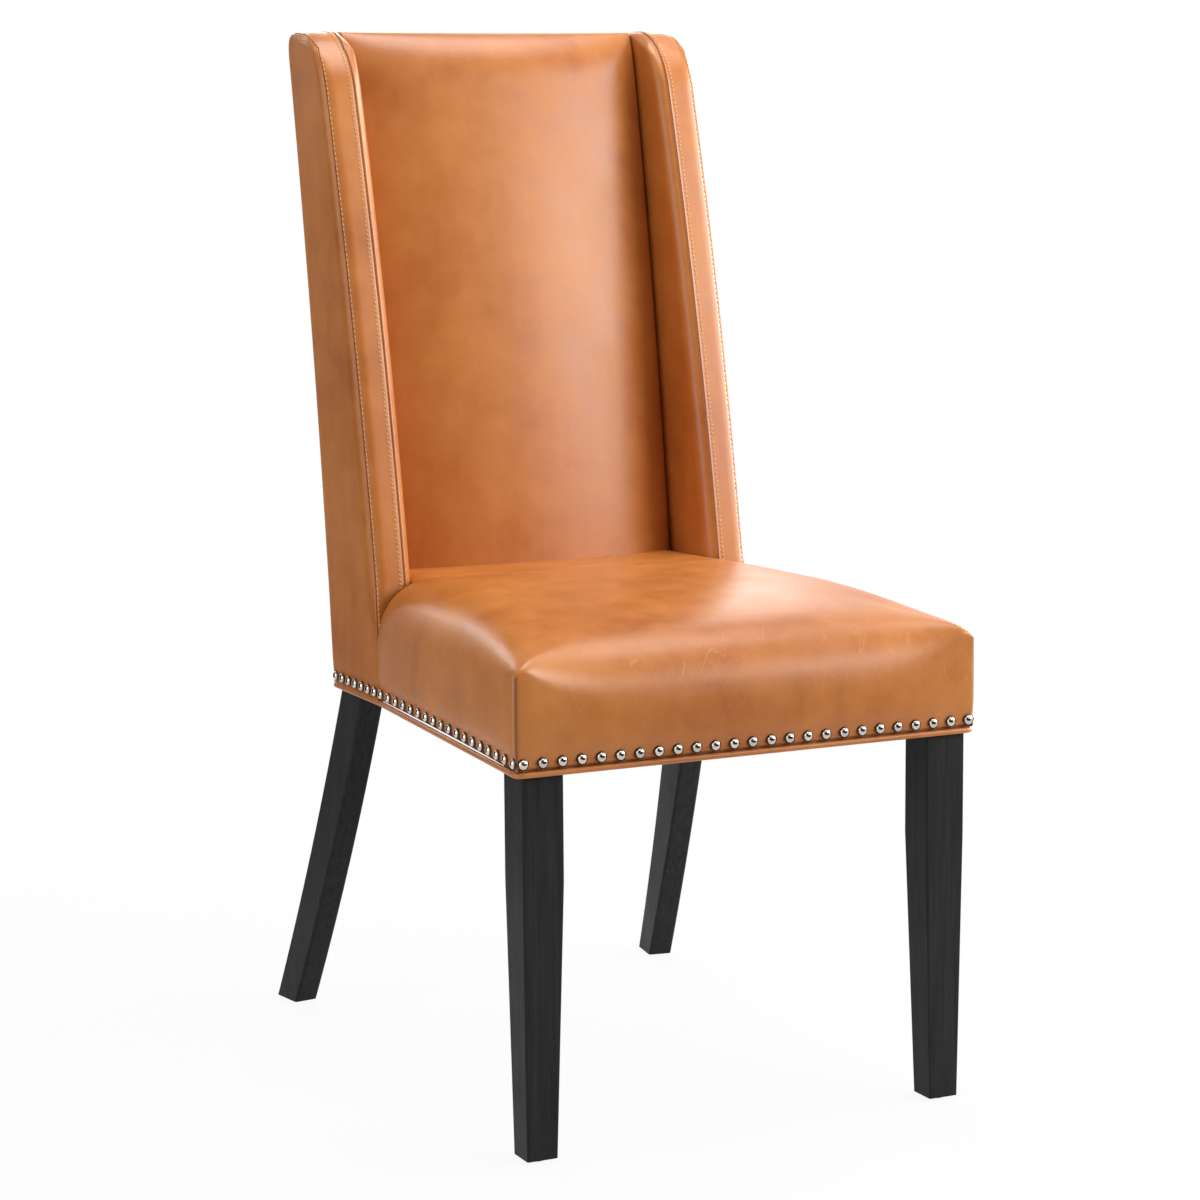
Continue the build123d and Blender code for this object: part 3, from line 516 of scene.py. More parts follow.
# seat
seat = {
    "crownSag": 2.5 * mm,
    "frontFall": 24.0 * mm,
    "frontFallReach": 220.0 * mm,
    "rearFall": 2.0 * mm,
    "rearFallReach": 110.0 * mm,
    "frontRoll": (42.0 * mm, 14.0 * mm),  # middle, corner
    "frontDrop": (40.0 * mm, 7.0 * mm),
    "sideRoll": (13.0 * mm, 58.0 * mm),  # front corner, rear
    "sideDrop": (7.0 * mm, 42.0 * mm),
    "rearExtraDrop": 16.0 * mm,
    "cornerReach": 90.0 * mm,
    "cornerPower": 4.0,
    "cornerSharpness": 6,
    "drawIn": 2.0 * mm,
    "tuck": 2.6 * mm,
    "tuckHeight": 0.05,  # share of the seat's height
    "tackHeight": 0.13,
    "sewnRear": 1.97,
    "tongueHalf": 163.0 * mm,
    "tongueFoot": 60.0 * mm,  # above the seat's underside
    "tongueReach": 96.0 * mm,
    "tongueFall": 3.2 * mm,
    "tongueSteps": 8,
    "nailDimple": 1.0 * mm,
    "nailReach": 6.0 * mm,
    "pressure": 3.0,
    "cap": 3.0 * mm,
    "fill": 0.85,
}
# lines of the seat's net: counts, and the closer lines at its rear and foot
seatNet = {
    "across": 56,
    "sideRoll": 6,
    "frontRoll": 8,
    "along": 49,
    "rear": (1.98, 1.992, 1.998, 2.0),
    "foot": (0.0, 0.012, 0.03, 0.05, 0.08, 0.12, 0.18),
    "up": 11,
}
netEdge = 0.01  # spots this near to the net's end are on its outer face
facingRear = 0.9
seatLow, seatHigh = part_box("seat_cover")
seatDepth = breakY - seatLow.y


# s runs across, with the side rolls past 1; t runs back, with the front roll below 1
def seatTop(s, t):
    corner = min(1.0, abs(s)) ** seat["cornerSharpness"]
    frontRoll = mix(*seat["frontRoll"], corner)
    if t < 1:
        turn = (1 - t) * math.pi / 2
        y = frontRoll * (1 - math.sin(turn))
        frontDrop = mix(*seat["frontDrop"], corner) * (1 - math.cos(turn))
    else:
        y = mix(frontRoll, seatDepth, t - 1)
        frontDrop = 0.0
    share = y / seatDepth
    opened = 1 - math.exp(-y / seat["cornerReach"])
    half = mix(seatHigh.x, backHalf, share) - 4 * seat["drawIn"] * share * (1 - share)
    roll = mix(*seat["sideRoll"], opened)
    drop = mix(*seat["sideDrop"], opened) + seat["rearExtraDrop"] * share ** 2
    if abs(s) <= 1:
        x = s * (half - roll)
        sideDrop = 0.0
    else:
        turn = (abs(s) - 1) * math.pi / 2
        x = math.copysign(half - roll + roll * math.sin(turn), s)
        sideDrop = drop * (1 - math.cos(turn))
    level = seatHigh.z - seat["crownSag"] * (x / half) ** 2
    level -= seat["frontFall"] * max(0.0, 1 - y / seat["frontFallReach"]) ** 2
    level -= seat["rearFall"] * max(0.0, 1 - (seatDepth - y) / seat["rearFallReach"]) ** 2
    power = seat["cornerPower"]
    z = level - (frontDrop ** power + sideDrop ** power) ** (1 / power)
    return Vector((x, seatLow.y + y, z))


def onSide(spot):
    return abs(spot[0]) > 2 - netEdge


def onFront(spot):
    return spot[1] < netEdge


def seatPlace(spot):
    s, t, w = spot
    point = seatTop(s, t)
    point.z = mix(seatLow.z, point.z, w)
    if w < seat["tuckHeight"]:
        tuck = seat["tuck"] * (1 - w / seat["tuckHeight"])
        if onSide(spot):
            point.x -= math.copysign(tuck, s)
        if onFront(spot):
            point.y += tuck
    return point


def seatSewn(spot):
    _, t, w = spot
    held = w < seat["tackHeight"] or t > seat["sewnRear"] or onSide(spot) and onFront(spot)
    return 1.0 if held else 0.0


pucker = {
    "seamDepth": 1.1 * mm,
    "seamWidth": 1.3 * mm,
    "seamFade": 6.0 * mm,
    "seamDark": 0.8,
    "seamRidge": 0.8 * mm,
    "ridgeFromSeam": 3.2 * mm,
    "ridgeWidth": 2.2 * mm,
    "ridgeReach": 3.0 * mm,
    "dimple": 2.6 * mm,
    "dimpleWidth": 5.0 * mm,
    "dimpleDark": 0.3,
    "dimpleShadeWidth": 3.0 * mm,
    "valley": 2.4 * mm,
    "valleyWidth": 5.4 * mm,
    "valleyLength": 30.0 * mm,
    "valleySlope": 0.9,
    "valleyFade": 5.0 * mm,
    "hemDark": 0.9,
    "hemHeight": 0.012,  # share of the seat's height
    "creaseMiddle": 12.0 * mm,  # behind the front
    "creaseReach": 75.0 * mm,
    "creaseHeight": (0.25, 0.65),  # share of the seat's height where the hairlines set in
}


# leather pulled in round the nails along a bottom edge
def pressNails(piece, nailNode):
    heads = nodes[nailNode].data.vertices
    finder = KDTree(len(heads))
    for index, vert in enumerate(heads):
        finder.insert(vert.co, index)
    finder.balance()
    for vert in piece.data.vertices:
        _, _, away = finder.find(vert.co)
        vert.co -= vert.normal * seat["nailDimple"] * bell(away, seat["nailReach"])


# corner seam, its raised fold, and the dimple and valley where the seam runs out on top, with painted shade
# in the seam, the dimple and along the bottom hem
def sewSeatCorners(piece, spots):
    seamShades = []
    creases = []
    corner = seatTop(2, 0)
    corner.x = abs(corner.x)
    for vert, (_, _, w) in zip(piece.data.vertices, spots):
        side = math.copysign(1.0, vert.co.x)
        fromSide = max(0.0, corner.x - abs(vert.co.x))
        fromFront = max(0.0, vert.co.y - seatLow.y)
        below = clamp((corner.z - vert.co.z) / pucker["seamFade"] + 1, 0, 1)
        edge = bell(fromSide, pucker["seamWidth"]) * bell(fromFront, pucker["seamWidth"]) * below
        ridge = bell(fromFront - pucker["ridgeFromSeam"], pucker["ridgeWidth"])
        ridge *= bell(fromSide, pucker["ridgeReach"]) * below
        vert.co.x += side * (pucker["seamRidge"] * ridge - pucker["seamDepth"] * edge)
        vert.co.y += pucker["seamDepth"] * edge
        reach = math.hypot(fromSide, fromFront)
        near = Vector((fromSide, fromFront, vert.co.z - corner.z)).length
        off = fromSide - fromFront * pucker["valleySlope"]
        valley = bell(off, pucker["valleyWidth"]) * clamp(1 - reach / pucker["valleyLength"], 0, 1)
        valley *= clamp((vert.co.z - corner.z) / pucker["valleyFade"] + 1, 0, 1)
        vert.co.z -= pucker["valley"] * valley + pucker["dimple"] * bell(near, pucker["dimpleWidth"])
        # painted shade: darker in the seam groove, the dimple and the hem above the welt
        dark = edge * pucker["seamDark"] + pucker["dimpleDark"] * bell(near, pucker["dimpleShadeWidth"])
        seamShades.append(clamp(dark + pucker["hemDark"] * bell(w, pucker["hemHeight"]), 0, 1))
        front = clamp(1 - abs(fromFront - pucker["creaseMiddle"]) / pucker["creaseReach"], 0, 1)
        creases.append(front * rise(w, *pucker["creaseHeight"]))
    addAttribute(piece, "seamShade", seamShades)
    addAttribute(piece, "crease", creases)


# tongue of the seat that runs back between the wings
def growTongue(piece):
    bm = bmesh.new()
    bm.from_mesh(piece.data)
    floor = seatLow.z + seat["tongueFoot"]
    rear = [face for face in bm.faces if face.normal.y > facingRear and face.calc_center_median().z > floor
            and abs(face.calc_center_median().x) < seat["tongueHalf"]]
    step = Vector((0, seat["tongueReach"], -seat["tongueFall"])) / seat["tongueSteps"]
    for _ in range(seat["tongueSteps"]):
        grown = bmesh.ops.extrude_face_region(bm, geom=rear)["geom"]
        bmesh.ops.delete(bm, geom=rear, context="FACES")
        fresh = [item for item in grown if isinstance(item, bmesh.types.BMVert)]
        rear = [item for item in grown if isinstance(item, bmesh.types.BMFace)]
        bmesh.ops.translate(bm, vec=step, verts=fresh)
    bm.to_mesh(piece.data)
    bm.free()


def makeSeat():
    rollTurns = steps(1, 2, seatNet["sideRoll"])
    across = [-place for place in reversed(rollTurns)] + steps(-1, 1, seatNet["across"])[1:-1] + rollTurns
    rear, foot = seatNet["rear"], seatNet["foot"]
    along = steps(0, 1, seatNet["frontRoll"]) + steps(1, rear[0], seatNet["along"])[1:] + list(rear[1:])
    up = list(foot[:-1]) + steps(foot[-1], 1, seatNet["up"])
    bm = netBox(across, along, up)
    spots = shapeNet(bm, seatPlace)
    piece = finishPiece("seatCushion", bm, leather, ("seat_cover", "seat_foam"))
    inflate(piece, spots, seatSewn, seat["pressure"], seat["cap"])
    sewSeatCorners(piece, spots)
    pressNails(piece, "seat_nails")
    growTongue(piece)
    addSubdivision(piece)
    print("seat made:", len(piece.data.polygons), "faces")


makeSeat()

# inside back
pad = {
    "centreDepth": (85.0 * mm, 66.0 * mm),  # foot, top
    "edgeDepth": 42.0 * mm,
    "crownShare": 0.75,  # of the fall from the middle to the edge; the rest rolls away at the sides
    "edgePower": 12.0,
    "topRoll": 45.0 * mm,
    "topDepth": 34.0 * mm,
    "rearGap": 4.0 * mm,
    "rearCorner": 16.0 * mm,
    "topRise": 3.0 * mm,
    "sewnDepth": 0.2,
    "sewnEnds": (0.05, 1.95),
    "edgeHold": 0.9,
    "edgeHoldFrom": 0.8,
    "pressure": 2.5,
    "cap": 3.0 * mm,
    "fill": 0.8,
}
padNet = {"across": 52, "deep": (0.0, 0.15, 0.3, 0.45, 0.6, 0.75, 0.88, 1.0), "up": 78, "topRoll": 8}
padLow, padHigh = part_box("inside_back_cover")
padTop = padHigh.z + pad["topRise"]


def padPlace(spot):
    s, w, t = spot  # w is 0 at the front and 1 at the rear
    start = padTop - pad["topRoll"]
    turn = max(0.0, t - 1) * math.pi / 2
    z = mix(padLow.z, start, t) if t < 1 else start + pad["topRoll"] * math.sin(turn)
    centre = mix(*pad["centreDepth"], (z - footZ) / (topZ - footZ))
    fall = mix(abs(s) ** pad["edgePower"], s * s, pad["crownShare"])
    depth = mix(centre, pad["edgeDepth"], fall)
    depth = mix(pad["topDepth"], depth, math.cos(turn))
    depth = mix(depth, pad["rearGap"], w)
    corner = pad["rearCorner"]
    upper = (z - (padTop - corner)) / corner
    backward = (corner + pad["rearGap"] - depth) / corner
    if upper > 0 and backward > 0:  # rounds the rear top edge
        z = padTop - corner + corner * upper * math.sqrt(1 - backward ** 2 / 2)
        depth = corner + pad["rearGap"] - corner * backward * math.sqrt(1 - upper ** 2 / 2)
    return Vector((s * padHigh.x, rearLine(z) - depth, z))


def padSewn(spot):
    s, w, t = spot
    foot, top = pad["sewnEnds"]
    if w > pad["sewnDepth"] or t < foot or t > top:
        return 1.0
    return pad["edgeHold"] * max(rise(t, 1, 2), rise(abs(s), pad["edgeHoldFrom"], 1))


def makePad():
    turns = steps(-math.pi / 2, math.pi / 2, padNet["across"])
    across = [math.sin(turn) for turn in turns]  # closer lines at the sides
    up = steps(0, 1, padNet["up"]) + steps(1, 2, padNet["topRoll"])[1:]
    bm = netBox(across, padNet["deep"], up)
    spots = shapeNet(bm, padPlace)
    piece = finishPiece("insideBackPad", bm, leather, ("inside_back_cover", "back_foam"))
    inflate(piece, spots, padSewn, pad["pressure"], pad["cap"])
    addSubdivision(piece)
    print("inside back made:", len(piece.data.polygons), "faces")


makePad()

# wings
wing = {
    "netDepth": 100.0 * mm,  # depth of the flat net, fitted to the side outline
    "outerRadius": (2.0 * mm, 14.0 * mm),  # beside the seat, above it
    "outerRise": (70.0 * mm, 120.0 * mm),  # heights above the foot between which the radius grows
    "outerRearRadius": 2.5 * mm,
    "outerRearward": (0.5, 0.9),  # shares of the depth between which that radius sets in
    "innerRadius": (14.0 * mm, 4.0 * mm),  # front, rear
    "innerRearward": (0.35, 0.65),
    "frontCorner": 56.0 * mm,
    "rearCorner": 26.0 * mm,
    "rearGap": 1.6 * mm,
    "outerSeam": 1.6 * mm,
    "innerSeam": 34.0 * mm,
    # painted shade in the outer and inner seam grooves
    "outerSeamDark": 0.12,
    "innerSeamDark": 0.40,
    "seamDepth": 1.1 * mm,
    "seamWidth": 0.9 * mm,
    "ridge": 0.7 * mm,
    "ridgeWidth": 1.6 * mm,
    "ridgeFromSeam": 2.4 * mm,
    "tackHeight": 15.0 * mm,
    "tackedFrom": 0.8,  # share of the depth
    "seamHold": 1.0 * mm,
    "panelHold": 0.55,
    "pressure": 4.0,
    "cap": 2.6 * mm,
    "fill": 0.8,
}
# lines of the wing's net in mm, closer at its edges and seams
wingNet = {
    "edge": (0, 2.5, 5, 8, 11, 14),
    "panel": (20, 80),
    "panelSteps": 10,
    "rear": (86, 89, 91.5, 94, 96, 98, 100),
    "downSteps": 92,
    "deep": (0, 0.5, 1.1, 1.6, 2.1, 2.8, 3.8, 5.5, 7.7, 10.5, 13.5, 17, 20.5, 24, 27.5, 30.5,
             32.4, 33.3, 34, 34.7, 35.6, 37, 39, 41.3, 43.5),
}
wingThick = innerHigh.x - outerLow.x
wingHigh = topZ - footZ


# square corner of the net to a round one
def roundCorner(first, second, radius):
    if first >= radius or second >= radius:
        return first, second
    a = (radius - first) / radius
    b = (radius - second) / radius
    return radius - radius * a * math.sqrt(1 - b * b / 2), radius - radius * b * math.sqrt(1 - a * a / 2)


# the outer edge is crisp beside the seat and at the rear, and rounder above the seat
def outerRadius(back, down):
    radius = mix(*wing["outerRadius"], rise(wingHigh - down, *wing["outerRise"]))
    rearward = rise(back / wing["netDepth"], *wing["outerRearward"])
    return mix(radius, min(radius, wing["outerRearRadius"]), rearward)


def wingPlace(side, spot):
    back, down, deep = spot
    outer = outerRadius(back, down)
    inner = mix(*wing["innerRadius"], rise(back / wing["netDepth"], *wing["innerRearward"]))
    radius = 0.0
    if deep <= outer:
        radius = outer
    elif deep >= wingThick - inner:
        radius = inner
    if radius:
        core = Vector((clamp(back, radius, wing["netDepth"] - radius), max(down, radius),
                       clamp(deep, outer, wingThick - inner)))
        out = Vector((back, down, deep)) - core
        if out.length > 0:
            back, down, deep = core + out * (radius / out.length)
    back, down = roundCorner(back, down, wing["frontCorner"])
    fromRear, down = roundCorner(wing["netDepth"] - back, down, wing["rearCorner"])
    back = wing["netDepth"] - fromRear
    z = topZ - down
    share = back / wing["netDepth"]
    y = mix(frontLine(z), rearLine(z) - wing["rearGap"], share)
    return Vector((side * (backHalf - deep), y, z))


# on the front or the top of the wing, where the seams run
def onBand(spot):
    return spot[0] < weld or spot[1] < weld


def wingSewn(spot):
    back, down, deep = spot
    if down > wingHigh - wing["tackHeight"] or back > wing["tackedFrom"] * wing["netDepth"]:
        return 1.0
    if onBand(spot):
        nearest = min(abs(deep - wing["outerSeam"]), abs(deep - wing["innerSeam"]))
        return 1.0 if nearest < wing["seamHold"] else 0.0
    return wing["panelHold"]


# grooves of the two seams, each with a raised fold on the side away from its stitches, and painted shade in
# each groove
def sewWing(piece, spots):
    seamShades = []
    normals = [vert.normal.copy() for vert in piece.data.vertices]
    for vert, spot, normal in zip(piece.data.vertices, spots, normals):
        seamShade = 0.0
        if onBand(spot):
            for name, fold in (("outerSeam", -1), ("innerSeam", 1)):
                off = spot[2] - wing[name]
                groove = bell(off, wing["seamWidth"])
                ridge = bell(off - fold * wing["ridgeFromSeam"], wing["ridgeWidth"])
                vert.co += normal * (wing["ridge"] * ridge - wing["seamDepth"] * groove)
                seamShade = max(seamShade, groove * wing[name + "Dark"])
        seamShades.append(seamShade)
    addAttribute(piece, "seamShade", seamShades)


def makeWing(sideName, side):
    edge, rear, deepLines = ([place * mm for place in wingNet[key]] for key in ("edge", "rear", "deep"))
    start, end = (place * mm for place in wingNet["panel"])
    backLines = edge + steps(start, end, wingNet["panelSteps"]) + rear
    downLines = edge + steps(start, wingHigh, wingNet["downSteps"])
    deepLines.append(wingThick)
    bm = netBox(backLines, downLines, deepLines)
    spots = shapeNet(bm, lambda spot: wingPlace(side, spot))
    covers = [f"{sideName}_wing_{part}" for part in ("outer_cover", "front_band", "inner_cover", "foam")]
    piece = finishPiece(f"{sideName}Wing", bm, leather, covers)
    inflate(piece, spots, wingSewn, wing["pressure"], wing["cap"])
    sewWing(piece, spots)
    pressNails(piece, "back_nails")
    addSubdivision(piece)
    print(piece.name, "made:", len(piece.data.polygons), "faces")
    return piece


wings = {side: makeWing(name, side) for name, side in (("left", -1), ("right", 1))}

# stitching beside the wing seams
stitch = {
    "pitch": 5.2 * mm,
    "length": 3.7 * mm,
    "radius": 0.75 * mm,
    "slant": 0.0,
    "sink": 0.1 * mm,
    "wobble": 0.12 * mm,
    "wobbleScale": 900.0,  # per metre
    "facets": 6,
}
slantedStitch = dict(stitch, pitch=4.6 * mm, length=3.8 * mm, radius=0.8 * mm, slant=0.75)
needleHole = dict(stitch, pitch=4.2 * mm, length=1.6 * mm, radius=0.55 * mm, sink=0.15 * mm)
stitchFromSeam = {"outer": 2.0 * mm, "inner": 4.6 * mm}
stitchStart = 60.0 * mm  # above the foot of the wing
stitchEnd = 0.93  # share of the wing's depth, along its top
routeSteps = {"front": 120, "top": 20}


def surfaceTree(piece):
    graph = bpy.context.evaluated_depsgraph_get()
    return BVHTree.FromObject(piece, graph)


def stitchRow(bm, tree, route, kind):
    travelled = 0.0
    due = 0.0
    for start, end in zip(route, route[1:]):
        run = (end - start).length
        while due <= travelled + run:
            guess = start.lerp(end, (due - travelled) / run)
            found, normal, _, _ = tree.find_nearest(guess)
            along = (end - start).normalized()
            along = (along - normal * along.dot(normal)).normalized()
            sideways = normal.cross(along)
            lean = Matrix.Rotation(kind["slant"], 3, normal)
            along, sideways = lean @ along, lean @ sideways
            shift = noise.noise(found * kind["wobbleScale"]) * kind["wobble"]
            place = Matrix((normal, sideways, along)).transposed().to_4x4()
            place.translation = found - normal * kind["sink"] + sideways * shift
            shape = place @ Matrix.Diagonal((kind["radius"], kind["radius"], kind["length"] / 2, 1))
            facets = kind["facets"]
            bmesh.ops.create_uvsphere(bm, u_segments=facets, v_segments=facets, radius=1.0, matrix=shape)
            due += kind["pitch"]
        travelled += run


def seamRoute(side, deep):
    downs = steps(wingHigh - stitchStart, 0.0, routeSteps["front"])
    backs = steps(0.0, wing["netDepth"] * stitchEnd, routeSteps["top"])[1:]
    front = [wingPlace(side, (0.0, down, deep)) for down in downs]
    return front + [wingPlace(side, (back, 0.0, deep)) for back in backs]


for sideName, side in (("left", -1), ("right", 1)):
    tree = surfaceTree(wings[side])
    bm = bmesh.new()
    stitchRow(bm, tree, seamRoute(side, wing["outerSeam"] + stitchFromSeam["outer"]), stitch)
    stitchRow(bm, tree, seamRoute(side, wing["innerSeam"] - stitchFromSeam["inner"]), slantedStitch)
    row = finishPiece(f"{sideName}WingStitching", bm, thread)
    bm = bmesh.new()
    # painted shade in the needle holes along the inner seam
    stitchRow(bm, tree, seamRoute(side, wing["innerSeam"]), needleHole)
    holes = finishPiece(f"{sideName}WingNeedleHoles", bm, needleHoleShade)
    print(row.name, "made:", len(row.data.polygons) + len(holes.data.polygons), "faces")

# nails, each a polished dome on a rim on its shank, with painted shade on the rim and the dome's foot
nailHead = {
    "height": 3.2 * mm,
    "shankRadius": 0.9 * mm,
    "shankLength": 8.0 * mm,
    "endReach": 2.0 * mm,  # spans the end of the shank
    "rimRadius": 5.5 * mm,
    "rimHeight": 0.5 * mm,
    "rimRound": 0.2 * mm,
    "domeRadius": 4.6 * mm,
    # painted shade on the dome's lowest rings
    "rimShade": (1.0, 0.6),  # on the dome's lowest rings
    "domeSteps": 8,
    "sides": 20,
}


# radius, height and painted rim shade along half of the nail's section
def nailSection():
    shank, length = nailHead["shankRadius"], nailHead["shankLength"]
    rim, rimTop, rounding = nailHead["rimRadius"], nailHead["rimHeight"], nailHead["rimRound"]
    section = [(0.0, -length, 0.0), (shank, -length, 0.0), (shank, 0.0, 0.0)]
    section += [(rim - rounding, 0.0, 1.0), (rim, rimTop / 2, 1.0), (rim - rounding, rimTop, 1.0)]
    count = nailHead["domeSteps"]
    rimShade = list(nailHead["rimShade"]) + [0.0] * count
    for turn, dark in zip(steps(0.0, math.pi / 2, count), rimShade):
        radius = nailHead["domeRadius"] * math.cos(turn)
        section.append((radius, mix(rimTop, nailHead["height"], math.sin(turn)), dark))
    return section


def spunNail():
    bm = bmesh.new()
    layer = bm.verts.layers.float.new("rimShade")
    line = []
    for radius, height, rimShade in nailSection():
        line.append(bm.verts.new((radius, 0.0, height)))
        line[-1][layer] = rimShade
    edges = [bm.edges.new(pair) for pair in zip(line, line[1:])]
    bmesh.ops.spin(bm, geom=line + edges, axis=(0, 0, 1), cent=(0, 0, 0), angle=math.tau,
                   steps=nailHead["sides"], use_merge=True)
    bmesh.ops.remove_doubles(bm, verts=bm.verts, dist=weld)
    mesh = bpy.data.meshes.new("nail")
    bm.to_mesh(mesh)
    bm.free()
    return mesh


# groups of points that edges join
def islands(bm):
    done = set()
    for first in bm.verts:
        if first.index in done:
            continue
        done.add(first.index)
        island = [first]
        for vert in island:  # grows while it is walked
            for link in vert.link_edges:
                other = link.other_vert(vert)
                if other.index not in done:
                    done.add(other.index)
                    island.append(other)
        yield [vert.co for vert in island]


# where the frame's nails stand: the foot of each head, with Z along the nail
def nailPlaces(node):
    bm = bmesh.new()
    bm.from_mesh(nodes[node].data)
    bmesh.ops.remove_doubles(bm, verts=bm.verts, dist=weld)
    bm.verts.index_update()
    places = []
    for points in islands(bm):
        middle = sum(points, Vector()) / len(points)
        tip = max(points, key=lambda point: (point - middle).length)
        near = [point for point in points if (point - tip).length < nailHead["endReach"]]
        end = sum(near, Vector()) / len(near)
        axis = (middle - end).normalized()
        foot = end + axis * nailHead["shankLength"]
        places.append(Matrix.Translation(foot) @ axis.to_track_quat("Z", "Y").to_matrix().to_4x4())
    bm.free()
    return places


def makeNails(name, node):
    nail = spunNail()
    bm = bmesh.new()
    places = nailPlaces(node)
    for place in places:
        count = len(bm.verts)
        bm.from_mesh(nail)
        bm.verts.ensure_lookup_table()
        bmesh.ops.transform(bm, matrix=place, verts=bm.verts[count:])
    finishPiece(name, bm, finishes["nickel"], (node,))
    print(name, "made:", len(places), "nails")


makeNails("seatNails", "seat_nails")
makeNails("backNails", "back_nails")

# outside back
outside = {
    "half": 205.0 * mm,
    "thickness": 2.2 * mm,
    "lift": 0.6 * mm,
    "topGap": 7.0 * mm,
    "bulge": 2.5 * mm,
    "edgeRound": 6.0 * mm,
    "edgeFall": 1.2 * mm,
    "footGap": 1.0 * mm,
    "overReach": 18.0 * mm,  # below the top, where the panel starts to turn over it
    "overFall": 6.0 * mm,
    "net": (60, 100),
    "bowShare": 1.02,  # the panel's length along its bow, as a share of its height
}


def makeOutside():
    bm = bmesh.new()
    bmesh.ops.create_grid(bm, x_segments=outside["net"][0], y_segments=outside["net"][1], size=1.0)
    low = footZ + outside["footGap"]
    high = topZ - outside["topGap"]
    for vert in bm.verts:
        x = vert.co.x * outside["half"]
        up = (vert.co.y + 1) / 2
        z = mix(low, high, up)
        pillow = (1 - vert.co.x ** 2) * (1 - vert.co.y ** 2) * outside["bulge"]
        edge = min(outside["half"] - abs(x), z - low, high - z)
        turned = clamp(1 - edge / outside["edgeRound"], 0, 1) ** 2 * outside["edgeFall"]
        over = rise(z, topZ - outside["overReach"], topZ) ** 2 * outside["overFall"]
        vert.co = (x, rearLine(z) + outside["lift"] + pillow - turned - over, z)
    bmesh.ops.solidify(bm, geom=bm.faces[:], thickness=outside["thickness"])
    piece = finishPiece("outsideBack", bm, leather, ("outside_back_cover",))
    addSubdivision(piece)
    print("outside back made:", len(piece.data.polygons), "faces")


makeOutside()

# black cloth tacked under the seat and the back
dustCover = {
    "sag": 3.0 * mm,
    "thickness": 0.6 * mm,
    "net": (40, 34),
    "ripple": 0.5 * mm,
    "ripplePitch": 28.0 * mm,
    "ripplePower": 6,  # keeps the ripple near the tacked edge
}


def makeDustCover(name, node, frontHalf, rearHalf):
    low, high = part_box(node)
    bm = bmesh.new()
    bmesh.ops.create_grid(bm, x_segments=dustCover["net"][0], y_segments=dustCover["net"][1], size=1.0)
    for vert in bm.verts:
        across, along = vert.co.x, vert.co.y
        x = across * mix(frontHalf, rearHalf, (along + 1) / 2)
        y = mix(low.y, high.y, (along + 1) / 2)
        sag = dustCover["sag"] * (1 - across ** 2) * (1 - along ** 2)
        edge = max(abs(across), abs(along)) ** dustCover["ripplePower"]
        ripple = dustCover["ripple"] * edge * math.sin((x + y) / dustCover["ripplePitch"] * math.tau)
        vert.co = (x, y, low.z - sag - abs(ripple))
    bmesh.ops.solidify(bm, geom=bm.faces[:], thickness=dustCover["thickness"])
    piece = finishPiece(name, bm, finishes["dust_cover_cloth"], (node,))
    2 * max(frontHalf, rearHalf)
    print(name, "made:", len(piece.data.polygons), "faces")


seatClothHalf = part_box("seat_dust_cover")[1].x
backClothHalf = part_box("back_dust_cover")[1].x
makeDustCover("seatDustCover", "seat_dust_cover", seatClothHalf, backClothHalf)
makeDustCover("backDustCover", "back_dust_cover", backClothHalf, backClothHalf)

# camera and light
camera = {
    "place": (-1.42922, -2.97953, 0.96613),
    "yaw": 25.66,
    "pitch": -8.65,
    "roll": -0.42,
    "lens": 99.458,
    "sensor": 36.0,
    "farthest": 100.0,
}


def makeCamera():
    data = bpy.data.cameras.new("photoCamera")
    data.lens = camera["lens"]
    data.sensor_width = camera["sensor"]
    data.clip_end = camera["farthest"]
    eye = bpy.data.objects.new("photoCamera", data)
    turn = Matrix.Rotation(math.radians(-camera["yaw"]), 4, "Z")
    tilt = Matrix.Rotation(math.radians(90 + camera["pitch"]), 4, "X")
    lean = Matrix.Rotation(math.radians(camera["roll"]), 4, "Z")
    eye.matrix_world = Matrix.Translation(camera["place"]) @ turn @ tilt @ lean
    scene.collection.objects.link(eye)
    scene.camera = eye


lamps = (
    {"name": "keySoftbox", "place": (2.28, -1.32, 1.56), "aim": (0.0, 0.0, 0.6),
     "size": (3.0, 1.5), "power": 111.0},
    {"name": "leftFill", "place": (-2.5, -0.26, 1.27), "aim": (0.0, 0.0, 0.6),
     "size": (1.8, 1.8), "power": 28.0},
    {"name": "topSoftbox", "place": (0.4, 0.0, 2.9), "aim": (0.0, -0.1, 0.45),
     "size": (1.4, 1.4), "power": 46.0},
    {"name": "rearSoftbox", "place": (0.2, 2.6, 1.75), "aim": (0.0, 0.0, 0.5),
     "size": (3.0, 1.0), "power": 50.0},
    {"name": "sheenStrip", "place": (2.5, 0.75, 1.15), "aim": (0.0, 0.0, 0.7),
     "size": (1.8, 1.6), "power": 120.0},
)
sheenLamps = ("sheenStrip",)  # these show in the gloss and add no light of their own
# black cards that keep glare off the side panels, the inside back and the nails; only reflections see them
flags = (
    {"name": "sideFlag", "place": (-0.80, 0.75, 0.75), "aim": (-0.2, -0.1, 0.65), "size": (1.0, 1.7)},
    {"name": "cameraFlag", "place": (-0.35, -1.9, 1.1), "aim": (0.0, 0.0, 0.7), "size": (1.3, 1.6)},
    {"name": "frontFlag", "place": (0.5, -1.5, 0.3), "aim": (0.0, -0.2, 0.4), "size": (1.5, 1.0)},
)


def aimed(thing):
    place = Vector(thing["place"])
    aim = (Vector(thing["aim"]) - place).to_track_quat("-Z", "Y")
    return Matrix.Translation(place) @ aim.to_matrix().to_4x4()


